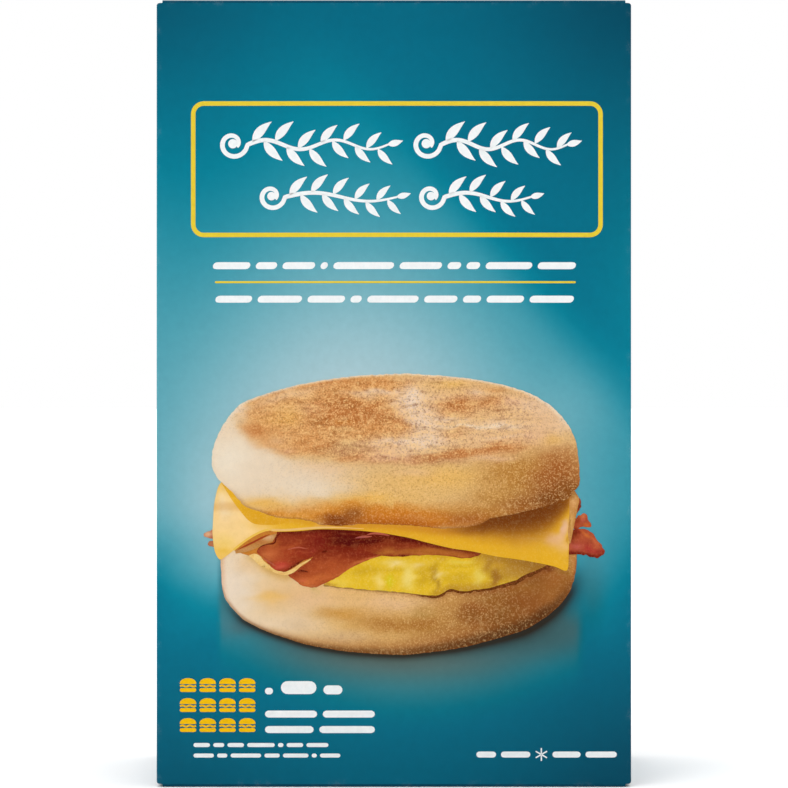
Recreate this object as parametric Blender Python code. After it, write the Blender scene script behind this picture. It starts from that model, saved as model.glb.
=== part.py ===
"""A shut folding carton for twelve frozen breakfast sandwiches, standing upright.

The carton is one folded and glued board blank. Its four panels wrap round a glue seam at the back left
corner. At each end two dust flaps fold in from the sides, an inner flap from the back and an outer flap
from the front, so every end shows the board's steps. The solid is a loft: level rings, each with the same
points, are stacked from the bottom outer flap to the top one.

X runs across the front panel, Y from the front to the back, Z up. The origin is on the surface that the
carton stands on, under its middle.
"""

import math

import bmesh
import bpy

MM = 0.001

# Driving sizes of the carton: twelve wrapped sandwiches lie in it as three rows of four on edge.
SANDWICH_THICK = 45.0 * MM
SANDWICH_ACROSS = 103.5 * MM
ACROSS_COUNT = 4
ROW_COUNT = 3
FIT_PLAY = 2.25 * MM
BOARD = 0.6 * MM

WIDTH = ACROSS_COUNT * SANDWICH_THICK + 4 * FIT_PLAY + 1.0 * MM
DEPTH = SANDWICH_ACROSS + 1.5 * MM
HEIGHT = ROW_COUNT * SANDWICH_ACROSS + 2 * FIT_PLAY

# Folds, seam and flaps.
FOLD_RADIUS = 1.0 * MM
FLAP_CORNER_RADIUS = 0.5 * MM
FLAP_SETBACK = 2.3 * MM
OUTER_FLAP_SHORT = 2.4 * MM
LAYER_INSET = 0.05 * MM
SEAM_SHORT = 1.6 * MM

# The full panels swell a little between their folds.
FRONT_CROWN = 1.7 * MM
SIDE_CROWN = 0.5 * MM

# Points of a ring: inside each panel, and round each fold. Levels: up the walls, and round an end fold.
FRONT_POINTS = 13
SIDE_POINTS = 7
FOLD_POINTS = 4
WALL_LEVELS = 18
END_FOLD_LEVELS = 3

CARTON_TEAL = (0.0, 0.16, 0.235, 1.0)
CARTON_ROUGHNESS = 0.42


def clear_scene():
    for obj in list(bpy.data.objects):
        bpy.data.objects.remove(obj, do_unlink=True)


def board_material():
    material = bpy.data.materials.new("printed_board")
    material.use_nodes = True
    shader = material.node_tree.nodes["Principled BSDF"]
    shader.inputs["Base Color"].default_value = CARTON_TEAL
    shader.inputs["Roughness"].default_value = CARTON_ROUGHNESS
    shader.inputs["Metallic"].default_value = 0.0
    return material


def swell(share):
    """A crown's height at a place from -1 to 1 along a panel: flat at both folds, full in the middle."""
    return (1.0 - share * share) ** 2


def fold_arc(centre, radius, start_deg):
    """The points of one quarter turn, counter-clockwise from start_deg."""
    points = []
    for step in range(FOLD_POINTS + 1):
        angle = math.radians(start_deg + 90.0 * step / FOLD_POINTS)
        points.append((centre[0] + radius * math.cos(angle), centre[1] + radius * math.sin(angle)))
    return points


def seam_corner(left, back):
    """The back left corner of the walls, from the back panel round to the left one.

    The back panel turns one board thickness inside the left panel, whose cut edge stands outside it.
    """
    inner_left = left + BOARD
    centre = (inner_left + FOLD_RADIUS, back - FOLD_RADIUS)
    arc = fold_arc(centre, FOLD_RADIUS, 90.0)
    return arc + [(inner_left, back - SEAM_SHORT), (left, back - SEAM_SHORT)]


def plain_corner_like_seam(left, back, radius):
    """A rounded corner with as many points as seam_corner, for the rings of the flaps."""
    count = FOLD_POINTS + 2
    points = []
    for step in range(count + 1):
        angle = math.radians(90.0 + 90.0 * step / count)
        points.append((left + radius + radius * math.cos(angle), back - radius + radius * math.sin(angle)))
    return points


def ring(half_width, front, back, level_swell, is_wall):
    """One level outline, counter-clockwise from the front left corner, seen from above."""
    radius = FOLD_RADIUS if is_wall else FLAP_CORNER_RADIUS
    right = half_width
    left = -half_width
    points = fold_arc((left + radius, front + radius), radius, 180.0)
    for step in range(1, FRONT_POINTS + 1):
        share = 2.0 * step / (FRONT_POINTS + 1) - 1.0
        points.append((share * (right - radius), front - FRONT_CROWN * level_swell * swell(share)))
    points += fold_arc((right - radius, front + radius), radius, 270.0)
    middle = (front + back) / 2
    reach = (back - front) / 2 - radius
    for step in range(1, SIDE_POINTS + 1):
        share = 2.0 * step / (SIDE_POINTS + 1) - 1.0
        points.append((right + SIDE_CROWN * level_swell * swell(share), middle + share * reach))
    points += fold_arc((right - radius, back - radius), radius, 0.0)
    for step in range(1, FRONT_POINTS + 1):
        share = 1.0 - 2.0 * step / (FRONT_POINTS + 1)
        points.append((share * (right - radius), back + FRONT_CROWN * level_swell * swell(share)))
    points += seam_corner(left, back) if is_wall else plain_corner_like_seam(left, back, radius)
    for step in range(1, SIDE_POINTS + 1):
        share = 1.0 - 2.0 * step / (SIDE_POINTS + 1)
        points.append((left - SIDE_CROWN * level_swell * swell(share), middle + share * reach))
    return points


def end_fold_shares():
    """Sine and one minus cosine of the steps of a quarter turn, without its start."""
    steps = [math.pi / 2 * step / END_FOLD_LEVELS for step in range(1, END_FOLD_LEVELS + 1)]
    return [(math.sin(angle), 1.0 - math.cos(angle)) for angle in steps]


def end_levels():
    """The rings of one end, as (height over the panels' end level, points), from the walls outwards."""
    front = -DEPTH / 2
    back = DEPTH / 2
    rings = []
    # The side panels turn in to the dust flaps.
    for rise, inward in end_fold_shares():
        half_width = WIDTH / 2 - FOLD_RADIUS * inward
        rings.append((FOLD_RADIUS * (rise - 1.0), ring(half_width, front, back, 0.0, is_wall=True)))
    # The inner flap lies on them, and its crease is the back edge.
    flap_half = WIDTH / 2 - FLAP_SETBACK
    front += LAYER_INSET
    back -= LAYER_INSET
    rings.append((0.0, ring(flap_half, front, back, 0.0, is_wall=False)))
    for rise, inward in end_fold_shares():
        rings.append((BOARD * rise, ring(flap_half, front, back - BOARD * inward, 0.0, is_wall=False)))
    # The outer flap covers it from the front crease to its cut edge, a little short of the back.
    flap_half -= LAYER_INSET
    front += LAYER_INSET
    back = DEPTH / 2 - OUTER_FLAP_SHORT
    rings.append((BOARD, ring(flap_half, front, back, 0.0, is_wall=False)))
    for rise, inward in end_fold_shares():
        rings.append((BOARD * (1.0 + rise), ring(flap_half, front + BOARD * inward, back, 0.0, is_wall=False)))
    return rings


def all_levels():
    """Every ring of the carton from the bottom to the top, as (z, points)."""
    panel_bottom = 2 * BOARD
    panel_top = HEIGHT - 2 * BOARD
    ends = end_levels()
    levels = [(panel_bottom - over, points) for over, points in reversed(ends)]
    low = panel_bottom + FOLD_RADIUS
    high = panel_top - FOLD_RADIUS
    for step in range(WALL_LEVELS + 1):
        share = 2.0 * step / WALL_LEVELS - 1.0
        z = low + (high - low) * step / WALL_LEVELS
        levels.append((z, ring(WIDTH / 2, -DEPTH / 2, DEPTH / 2, swell(share), is_wall=True)))
    levels += [(panel_top + over, points) for over, points in ends]
    return levels


def loft_carton():
    """The rings joined by quads, and each end closed by a fan round its middle."""
    shell = bmesh.new()
    rows = [[shell.verts.new((x, y, z)) for x, y in points] for z, points in all_levels()]
    count = len(rows[0])
    for lower, upper in zip(rows, rows[1:]):
        for i in range(count):
            j = (i + 1) % count
            shell.faces.new((lower[i], lower[j], upper[j], upper[i]))
    bottom_middle = shell.verts.new((0.0, 0.0, 0.0))
    top_middle = shell.verts.new((0.0, 0.0, HEIGHT))
    for i in range(count):
        j = (i + 1) % count
        shell.faces.new((rows[0][j], rows[0][i], bottom_middle))
        shell.faces.new((rows[-1][i], rows[-1][j], top_middle))
    bmesh.ops.recalc_face_normals(shell, faces=shell.faces)
    mesh = bpy.data.meshes.new("carton")
    shell.to_mesh(mesh)
    shell.free()
    return mesh


def build():
    clear_scene()
    mesh = loft_carton()
    mesh.materials.append(board_material())
    mesh.shade_smooth()
    mesh.set_sharp_from_angle(angle=math.radians(30.0))
    carton = bpy.data.objects.new("carton", mesh)
    bpy.context.scene.collection.objects.link(carton)


build()
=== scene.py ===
"""Looks of a shut folding carton for frozen breakfast sandwiches.

The carton is a folded board shell with lapped end flaps, and the teal ground is painted on the board. All
else that is printed is laid on as thin films of ink: a film is a grid of places on one panel, lifted by a few
hundredths of a millimetre, with its rim turned down into the board. Lengths here are in millimetres until a
mesh is made.
"""

import math
from collections import namedtuple

import bmesh
import bpy
import numpy as np
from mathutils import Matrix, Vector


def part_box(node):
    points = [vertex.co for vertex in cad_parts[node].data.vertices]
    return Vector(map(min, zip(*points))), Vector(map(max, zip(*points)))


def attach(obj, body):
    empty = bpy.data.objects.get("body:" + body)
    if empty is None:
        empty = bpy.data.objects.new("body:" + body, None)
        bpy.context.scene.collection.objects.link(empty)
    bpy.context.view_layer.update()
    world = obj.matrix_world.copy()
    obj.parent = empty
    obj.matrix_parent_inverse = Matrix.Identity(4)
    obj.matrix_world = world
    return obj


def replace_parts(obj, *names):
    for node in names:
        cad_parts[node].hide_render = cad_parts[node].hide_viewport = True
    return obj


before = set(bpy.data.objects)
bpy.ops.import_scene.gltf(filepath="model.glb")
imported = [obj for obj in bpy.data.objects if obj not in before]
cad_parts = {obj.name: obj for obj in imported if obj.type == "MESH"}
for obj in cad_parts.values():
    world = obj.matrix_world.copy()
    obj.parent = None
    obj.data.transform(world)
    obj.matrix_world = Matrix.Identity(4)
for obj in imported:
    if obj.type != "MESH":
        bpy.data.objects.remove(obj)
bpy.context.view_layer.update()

MM = 0.001

# The carton: its reach from the model's carton part, and its board, folds and crowns as the model has them.
LOW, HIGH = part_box("carton")
FRONT_CROWN = 1.7
SIDE_CROWN = 0.5
BOARD = 0.6
FOLD = 1.0
SEAM_SHORT = 1.6
FLAP_SETBACK = 2.3
OUTER_FLAP_SHORT = 2.4
INNER_FLAP_SHORT = 4.0
LAYER_INSET = 0.05
HALF_W = HIGH.x / MM - SIDE_CROWN
HALF_D = HIGH.y / MM - FRONT_CROWN
HEIGHT = HIGH.z / MM
MIDDLE = HEIGHT / 2
PANEL_END = 2 * BOARD
FOLD_END = PANEL_END + FOLD

# Grids of the board: steps along the wide and the narrow walls.
WIDE_STEP = 1.5
NARROW_STEP = 2.5

# How far the wear reaches from the end folds and the flaps' edges, and onto a panel from its left fold.
END_WEAR = 1.8
FOLD_WEAR = 2.0

# Once round the carton is four quarters, each from one panel's middle to the next one's.
QUARTER = HALF_W + HALF_D
PANEL_MIDDLE = {"front": 0.0, "right": QUARTER, "back": 2 * QUARTER, "left": 3 * QUARTER}

# Films of ink: the step from one film to the next one over it, how far a rim is sunk, and the size of the
# cells in the picture's grids. Points of a piece that are closer than the weld are one.
FILM = 0.035
SUNK = 0.03
PICTURE_CELL = 0.9
WELD = 1e-4

# Edges that bend by more degrees than this are drawn sharp.
FILM_SHARP = 30
BOARD_SHARP = 35

# Ink is scaled down, because the studio's light on an upright panel is about 1 / PAPER_WHITE. The gloss that
# the coat adds is taken off.
PAPER_WHITE = 0.87
GLOSS = 0.004

# Smooth noise repeats after this many knots.
KNOTS = 63

# Printed colours are display values out of 255.
# Colours: the ground, the table top in it, and the shadow on that.
TEAL = (-18, 117, 143)
DEEP_TEAL = (0, 68, 90)
BRIGHT_TEAL = (-18, 128, 154)
PALE_TEAL = (200, 217, 222)
TABLE = (66, 116, 124)
TABLE_GREEN = (98, 116, 110)
TABLE_GREY = (62, 91, 93)
TABLE_BLUE = (56, 134, 148)
TABLE_LIGHT = (82, 134, 140)
SHADOW = (48, 37, 27)

# Colours: plain inks.
WHITE = (250, 252, 252)
YELLOW = (236, 208, 62)
SUN_YELLOW = (252, 196, 18)

# Colours: bread, from pale to dark.
PALE = (244, 230, 208)
WHEAT = (240, 220, 196)
FLOUR = (244, 216, 190)
CREAM = (238, 216, 188)
BLUSH = (238, 206, 174)
PEACH = (234, 190, 148)
PALE_FACE = (230, 182, 130)
ROSE_FLOUR = (230, 178, 144)
BISCUIT = (226, 184, 124)
HONEY = (240, 184, 88)
GOLD = (234, 186, 112)
BRAN = (210, 166, 112)
FACE = (222, 160, 98)
AMBER_ROSE = (216, 156, 100)
ORANGE = (218, 146, 82)
AMBER = (220, 140, 44)
GREY_CRUMB = (194, 148, 104)
TAN = (194, 138, 72)
OCHRE = (190, 132, 60)
ROSY = (188, 130, 90)
TOAST = (198, 120, 62)
RUSSET = (200, 110, 28)
CRUST = (168, 98, 46)
BARK = (148, 84, 38)
UMBER = (122, 66, 26)
DARK_NUT = (82, 48, 24)

# Colours: cheese.
BUTTER = (254, 215, 150)
PALE_BUTTER = (250, 213, 148)
CUT_CHEESE = (242, 194, 112)
CHEDDAR = (236, 178, 42)
DEEP_CHEDDAR = (228, 166, 36)
CHEESE_TAN = (182, 116, 40)
CHEESE_BROWN = (112, 54, 18)

# Colours: bacon.
FAT = (242, 200, 122)
SALMON = (200, 114, 62)
ROSE = (190, 84, 48)
RASHER = (136, 46, 24)
MAROON = (116, 32, 20)
DEEP_MAROON = (86, 14, 6)

# Colours: egg.
LEMON = (244, 207, 80)
YOLK = (236, 193, 44)
OLIVE = (208, 164, 34)
BRONZE = (180, 130, 48)
SHADED_EGG = (160, 108, 38)


def tone(colour):
    """A printed colour as shares from 0 to 1."""
    return np.array(colour) / 255.0


def linear(colour):
    """Display shares as ink: the standard curve, a short line near black and a power of 2.4 above it."""
    colour = np.clip(colour, 0.0, 1.0)
    light = np.where(colour <= 0.04045, colour / 12.92, ((colour + 0.055) / 1.055) ** 2.4)
    return np.maximum(PAPER_WHITE * light - GLOSS, 0.0)


def smoothstep(low, high, value):
    """A soft step: 0 below low, 1 above high, and 3t^2 - 2t^3 of the way t between them."""
    t = np.clip((value - low) / (high - low), 0.0, 1.0)
    return t * t * (3.0 - 2.0 * t)


def toward(colour, other, share):
    """Colours moved towards others by a share of the way at each place: a + (b - a) share."""
    return colour + (other - colour) * share[..., None]


def painted(base, x, z, patches):
    """Colours at the places (x, z): a base with soft elliptical patches painted over it in turn.

    A patch is (colour, x, z, half width, half height, strength, firmness, tilt in degrees). Its weight is
    the strength times exp(-r^firmness), with r the distance in half sizes. Firmness 2 is a soft glow, 8 a
    firm edge.
    """
    colour = np.zeros(x.shape + (3,)) + base
    for patch in patches:
        ink, across, up, half_w, half_h, strength = patch[:6]
        firmness = patch[6] if len(patch) > 6 else 2
        tilt = patch[7] if len(patch) > 7 else 0
        c, s = math.cos(math.radians(tilt)), math.sin(math.radians(tilt))
        dx, dz = x - across, z - up
        r = np.hypot((dx * c + dz * s) / half_w, (dz * c - dx * s) / half_h)
        colour = toward(colour, tone(ink), strength * np.exp(-r ** firmness))
    return colour


def ripple(x, z, size_x, size_z, seed):
    """Smooth noise from -1 to 1: random values on a lattice, blended by soft steps between its knots."""
    lattice = np.random.default_rng(seed).uniform(-1.0, 1.0, (KNOTS + 1, KNOTS + 1))
    across, up = x / size_x, z / size_z
    i, j = np.floor(across).astype(int), np.floor(up).astype(int)
    s, t = smoothstep(0, 1, across - i), smoothstep(0, 1, up - j)
    i, j = i % KNOTS, j % KNOTS
    low = lattice[i, j] * (1 - s) + lattice[i + 1, j] * s
    high = lattice[i, j + 1] * (1 - s) + lattice[i + 1, j + 1] * s
    return low * (1 - t) + high * t


# Panels

def swell(share):
    """How far a panel is crowned at a place from -1 to 1 along it: (1 - share^2)^2."""
    return (1.0 - np.clip(share, -1.0, 1.0) ** 2) ** 2


def level_swell(z):
    """The crown's share at a height: none at the end folds, full half way up."""
    return swell((z - MIDDLE) / (MIDDLE - FOLD_END))


def on_panel(panel, u, v, lift):
    """Points of a panel at the places (u, v), u to the right and v up as seen from outside it.

    A point lies outside the flat panel by its crown times the swell across it and the swell up it, plus lift.
    """
    if panel == "top":
        return np.stack([u, v, HEIGHT + lift], axis=-1)
    if panel in ("front", "back"):
        side = -1 if panel == "front" else 1
        out = HALF_D + FRONT_CROWN * swell(u / (HALF_W - FOLD)) * level_swell(v) + lift
        return np.stack([-side * u, side * out, v], axis=-1)
    side = -1 if panel == "left" else 1
    out = HALF_W + SIDE_CROWN * swell(u / (HALF_D - FOLD)) * level_swell(v) + lift
    return np.stack([side * out, side * u, v], axis=-1)


# Soft patches of the ground, with x from the panel's middle: on the front and back, in the table top that
# mirrors the bread, and on the sides. The form of a patch is painted()'s.
FRONT_GROUND = [
    (BRIGHT_TEAL, -84, 68, 16, 12, .7),
    (BRIGHT_TEAL, 85, 67, 9, 13, .7),
    (PALE_TEAL, -72, 112, 15, 26, .3),
    (PALE_TEAL, -71, 86, 13, 16, .36),
    (PALE_TEAL, 72, 152, 18, 18, .18),
    (PALE_TEAL, 80, 86, 12, 18, .26),
    (PALE_TEAL, 4, 33, 34, 8, .06),
    (DEEP_TEAL, 110, 335, 65, 75, .95),
    (DEEP_TEAL, 112, 232, 36, 46, .3),
    (DEEP_TEAL, -115, 335, 60, 60, .6),
    (DEEP_TEAL, 110, -8, 60, 60, .82),
    (DEEP_TEAL, -115, -10, 60, 55, .42),
    (PALE_TEAL, -86, 84, 7, 9, .1),
    (TABLE_GREY, 79, 77, 5.5, 14, .34),
]
TABLE_PAINT = [
    (TABLE_LIGHT, 2, 39, 44, 8, .9),
    (TABLE_GREEN, 2, 52, 40, 8.5, .9),
    (TABLE_GREY, 52, 62, 26, 11, .9),
    (TABLE_BLUE, -66, 62, 18, 22, .95),
    (TABLE_BLUE, 66, 44, 20, 9, .6),
    ((96, 128, 136), -67, 64, 5, 9, .35),
    ((110, 96, 96), -61.6, 63.6, 5, 3.2, .3),
]
SIDE_GROUND = [
    (PALE_TEAL, 0, 205, 46, 60, .62),
]


def glow(u, z):
    """The pale glow's share behind the picture, narrower upwards, and cut off along a slant at the right.

    It is exp(-(across / width)^2 - (over / 106)^2.2), with over the height above 130 mm.
    """
    over = np.maximum(z - 130.0, 0)
    share = 0.95 * np.exp(-((u + 15.6) / (109.0 - 0.36 * over)) ** 2 - (over / 106.0) ** 2.2)
    beyond = (z - 232.0 + 1.2 * (u - 34.0)) / 1.56
    return share * (smoothstep(68.0, 116.0, z) * (1 - smoothstep(-16.0, 12.0, beyond)))


def mirror(u, z):
    """The table top's share, which mirrors the bread: as wide as it, and fading down, first at its sides.

    It is a product of soft steps: at both sides, at the top, which dips at the right, and at the foot, whose
    height is 35 + 15 ((u - 8) / 66)^2.
    """
    middle = 35.0 + 15.0 * ((u - 8.0) / 66.0) ** 2
    share = smoothstep(-71.4, -68.4, u) * (1 - smoothstep(72.0, 77.6, u))
    share *= 1 - smoothstep(80.0, 100.0, z + 18.0 * smoothstep(50.0, 74.0, u))
    return share * smoothstep(middle - 14.0, middle + 14.0, z)


def ground(girth, z):
    """The teal ground's colours: darker bands at both ends, the glow, darker corners and the mirroring table.

    Towards the middle of each side the print fades to the plain teal, so that both halves meet there.
    """
    u = (girth + QUARTER) % (2 * QUARTER) - QUARTER
    side = girth % (2 * QUARTER) - QUARTER
    plain = np.zeros(u.shape + (3,)) + tone(TEAL)
    for strength, away, reach in ((0.16, HEIGHT - z, 25.0), (0.24, z, 28.0)):
        plain = toward(plain, tone(DEEP_TEAL), strength * np.exp(-(away / reach) ** 2))
    colour = painted(toward(plain, tone(PALE_TEAL), glow(u, z)), u, z, FRONT_GROUND)
    colour = toward(colour, painted(tone(TABLE), u, z, TABLE_PAINT), mirror(u, z))
    colour = toward(colour, plain, smoothstep(HALF_W, QUARTER - 8.0, np.abs(u)))
    return painted(colour, side, z, SIDE_GROUND)


# Curves and grids

def on_circle(x, z, radius, angle):
    """Places at angles in radians round a middle: x + radius cos(angle), z + radius sin(angle)."""
    return np.stack([x + radius * np.cos(angle), z + radius * np.sin(angle)], axis=-1)


def arc(centre, radius, start, count=5):
    """A quarter turn counter-clockwise from a start angle in degrees."""
    return on_circle(*centre, radius, np.radians(start + np.linspace(0, 90, count)))


def spline(points, count, closed=False):
    """Places evenly along a Catmull-Rom curve, which joins its points by cubics with matched slopes."""
    knots = np.asarray(points, float)
    if closed:
        knots = np.vstack([knots[-1:], knots, knots[:2]])
    else:
        knots = np.vstack([2 * knots[0] - knots[1], knots, 2 * knots[-1] - knots[-2]])
    before, here, there, after = (knots[i:len(knots) - 3 + i, None] for i in range(4))
    t = np.linspace(0, 1, 24)[:, None]
    cubic = 2 * before - 5 * here + 4 * there - after + t * (3 * (here - there) + after - before)
    path = (here + 0.5 * t * (there - before + t * cubic)).reshape(-1, 2)
    length = np.concatenate([[0], np.cumsum(np.hypot(*np.diff(path, axis=0).T))])
    places = np.linspace(0, length[-1], count, endpoint=not closed)
    return np.stack([np.interp(places, length, path[:, k]) for k in (0, 1)], axis=1)


def rail(points, x):
    """Heights at x along the smooth curve through points that run from left to right."""
    path = spline(points, 600)
    return np.interp(x, np.maximum.accumulate(path[:, 0]), path[:, 1])


def between(lower, upper, count, rows, ragged=0.0, seed=1):
    """Grid of upright columns between two rails: places x, z and shares up it.

    The columns go from end to end as (1 - cos) / 2 of a half turn, so they are closest at both ends, and each
    rises evenly from the lower rail to the upper one. A ragged foot is moved up or down by smooth noise.
    """
    low, high = lower[0][0], lower[-1][0]
    x = low + (high - low) * (1 - np.cos(np.linspace(0, math.pi, count))) / 2
    foot = rail(lower, x) + ragged * ripple(x, x * 0, 1.7, 1, seed)
    crest = np.maximum(rail(upper, x), foot)
    share = np.linspace(0, 1, rows)[:, None] + 0 * x
    return x + 0 * share, foot + (crest - foot) * share, share


def within(outline, centre, count, rows, ragged=0.0, seed=1):
    """Grid of rings from a centre out to a closed curve: places x, z and shares outwards.

    A ring's share of the way out is the sine of a quarter turn's part, so the rings are closest at the edge.
    A ragged edge is moved in or out by smooth noise, at most by that many millimetres.
    """
    edge = spline(outline, count, closed=True)
    arm = edge - centre
    uneven = ragged * ripple(edge[:, 0], edge[:, 1], 1.1, 1.1, seed) / np.hypot(*arm.T)
    edge = centre + arm * (1 + uneven[:, None])
    share = np.sin(np.linspace(0, math.pi / 2, rows))[:, None] + 0 * edge[:, 0]
    return centre[0] + (edge[:, 0] - centre[0]) * share, centre[1] + (edge[:, 1] - centre[1]) * share, share


def band(path, low, high, rows=3, closed=False):
    """Grid along a line: each place of the path moved across it, from low to high mm to its right."""
    path = np.asarray(path, float)
    along = np.roll(path, -1, axis=0) - np.roll(path, 1, axis=0) if closed else np.gradient(path, axis=0)
    across = np.stack([along[:, 1], -along[:, 0]], axis=1)
    across /= np.maximum(np.hypot(*across.T), 1e-9)[:, None]
    share = np.linspace(0, 1, rows)[:, None] + 0 * path[:, 0]
    offset = low + (high - low) * share
    return path[:, 0] + across[:, 0] * offset, path[:, 1] + across[:, 1] * offset, offset


def stroke(path, width, rows=3, closed=False):
    """Grid of a line along a path, half its width to each side."""
    return band(path, -np.asarray(width) / 2, np.asarray(width) / 2, rows, closed)


def weave(points, wrap=False):
    """Two triangles for each cell of a grid of points, its last column joined to its first if it wraps."""
    rows, columns = points.shape[:2]
    index = np.arange(rows * columns).reshape(rows, columns)
    if wrap:
        index = np.hstack([index, index[:, :1]])
    a, b, c, d = index[:-1, :-1], index[:-1, 1:], index[1:, 1:], index[1:, :-1]
    return np.stack([a, b, c, a, c, d], axis=-1).reshape(-1, 3)


# A part of a mesh: a grid of points, its triangles, its colours and masks by name, and its material's place.
Part = namedtuple("Part", "points triangles fields material")


def part(points, wrap=False, fields=None, material=0, flip=False):
    """A grid of points as a part of a mesh, its fields flattened with it."""
    triangles = weave(points, wrap)
    if flip:
        triangles = triangles[:, ::-1]
    flat = {name: value.reshape(-1, value.shape[-1]) for name, value in (fields or {}).items()}
    return Part(points.reshape(-1, 3), triangles, flat, material)


# A spot is where a drawing lies: its panel, the place of the drawing's origin there, and its scale.
Spot = namedtuple("Spot", "panel across up scale")


def film(spot, grid, level, wrap=False, fields=None):
    """Ink on a panel: a drawn grid lifted by its level, its outer rim turned down into the board."""
    x, z = grid[:2]
    u, v = spot.across + x * spot.scale, spot.up + z * spot.scale
    pole = wrap and np.ptp(u[0]) < 1e-6 and np.ptp(v[0]) < 1e-6
    pad = ((0 if pole else 1, 1), (0, 0) if wrap else (1, 1))
    lift = np.pad(np.full(u.shape, level * FILM), pad, constant_values=-SUNK)
    area = np.sum((u[:-1, 1:] - u[:-1, :-1]) * (v[1:, :-1] - v[:-1, :-1])
                  - (u[1:, :-1] - u[:-1, :-1]) * (v[:-1, 1:] - v[:-1, :-1]))
    u, v = np.pad(u, pad, mode="edge"), np.pad(v, pad, mode="edge")
    fields = {name: np.pad(value, pad + ((0, 0),), mode="edge") for name, value in (fields or {}).items()}
    return part(on_panel(spot.panel, u, v, lift), wrap, fields, flip=bool(area < 0))


# Pieces

def piece(name, parts, materials, closed=False, sharp=FILM_SHARP):
    """One object from its parts: equal points are welded, and triangles that lose a corner are dropped."""
    points = np.concatenate([p.points for p in parts])
    starts = np.cumsum([0] + [len(p.points) for p in parts])
    triangles = np.concatenate([p.triangles + start for p, start in zip(parts, starts)])
    index = np.concatenate([np.full(len(p.triangles), p.material) for p in parts])
    keys = np.round(points / WELD).astype(np.int64)
    _, first, where = np.unique(keys, axis=0, return_index=True, return_inverse=True)
    triangles = where.reshape(-1)[triangles]
    a, b, c = triangles.T
    whole = (a != b) & (b != c) & (c != a)
    triangles, index = triangles[whole], index[whole]

    mesh = bpy.data.meshes.new(name)
    mesh.vertices.add(len(first))
    mesh.vertices.foreach_set("co", (points[first] * MM).astype(np.float32).ravel())
    mesh.loops.add(triangles.size)
    mesh.loops.foreach_set("vertex_index", triangles.astype(np.int32).ravel())
    mesh.polygons.add(len(triangles))
    mesh.polygons.foreach_set("loop_start", np.arange(0, triangles.size, 3, dtype=np.int32))
    mesh.polygons.foreach_set("material_index", index.astype(np.int32))
    mesh.update(calc_edges=True)
    for field in parts[0].fields:
        width = parts[0].fields[field].shape[1]
        values = np.concatenate([p.fields.get(field, np.zeros((len(p.points), width))) for p in parts])[first]
        if width == 3:
            values = np.hstack([values, np.ones((len(values), 1))])
            attribute = mesh.attributes.new(field, "FLOAT_COLOR", "POINT")
            attribute.data.foreach_set("color", values.astype(np.float32).ravel())
        else:
            attribute = mesh.attributes.new(field, "FLOAT", "POINT")
            attribute.data.foreach_set("value", values.astype(np.float32).ravel())
    if closed:
        shell = bmesh.new()
        shell.from_mesh(mesh)
        bmesh.ops.recalc_face_normals(shell, faces=shell.faces)
        shell.to_mesh(mesh)
        shell.free()
    mesh.shade_smooth()
    mesh.set_sharp_from_angle(angle=math.radians(sharp))
    for material in materials:
        mesh.materials.append(material)
    made = bpy.data.objects.new(name, mesh)
    bpy.context.scene.collection.objects.link(made)
    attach(made, "root")
    return made


# Materials

def add(tree, kind, inputs=None, **settings):
    """A shader node: its settings, and its inputs by name, each a value or the socket that feeds it."""
    made = tree.nodes.new("ShaderNode" + kind)
    for key, value in settings.items():
        setattr(made, key, value)
    for key, value in (inputs or {}).items():
        if isinstance(value, bpy.types.NodeSocket):
            tree.links.new(value, made.inputs[key])
        else:
            made.inputs[key].default_value = value
    return made


def noise(tree, scale, detail=3.0, roughness=0.5, stretch=None):
    """Noise in the piece's own metres, finer with scale, and stretched along an axis of small stretch."""
    place = add(tree, "TexCoord").outputs["Object"]
    if stretch:
        place = add(tree, "Mapping", {"Vector": place, "Scale": stretch}).outputs[0]
    inputs = {"Vector": place, "Scale": scale, "Detail": detail, "Roughness": roughness}
    return add(tree, "TexNoise", inputs).outputs[0]


def ramp(tree, value, low, high, to_low=0.0, to_high=1.0):
    """A value's stretch from low to high taken to another, and held at its ends."""
    inputs = {"Value": value, "From Min": low, "From Max": high, "To Min": to_low, "To Max": to_high}
    return add(tree, "MapRange", inputs).outputs[0]


def times(tree, first, second):
    """The product of two values."""
    return add(tree, "Math", {0: first, 1: second}, operation="MULTIPLY").outputs[0]


def blend(tree, share, first, second):
    """A colour that goes from first to second with share."""
    made = add(tree, "Mix", data_type="RGBA")
    for socket, value in (("Factor_Float", share), ("A_Color", first), ("B_Color", second)):
        place = next(s for s in made.inputs if s.identifier == socket)
        if isinstance(value, bpy.types.NodeSocket):
            tree.links.new(value, place)
        else:
            place.default_value = value
    return next(s for s in made.outputs if s.identifier == "Result_Color")


def rgba(colour):
    """A printed colour as an ink for a socket."""
    return (*linear(tone(colour)), 1.0)


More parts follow.
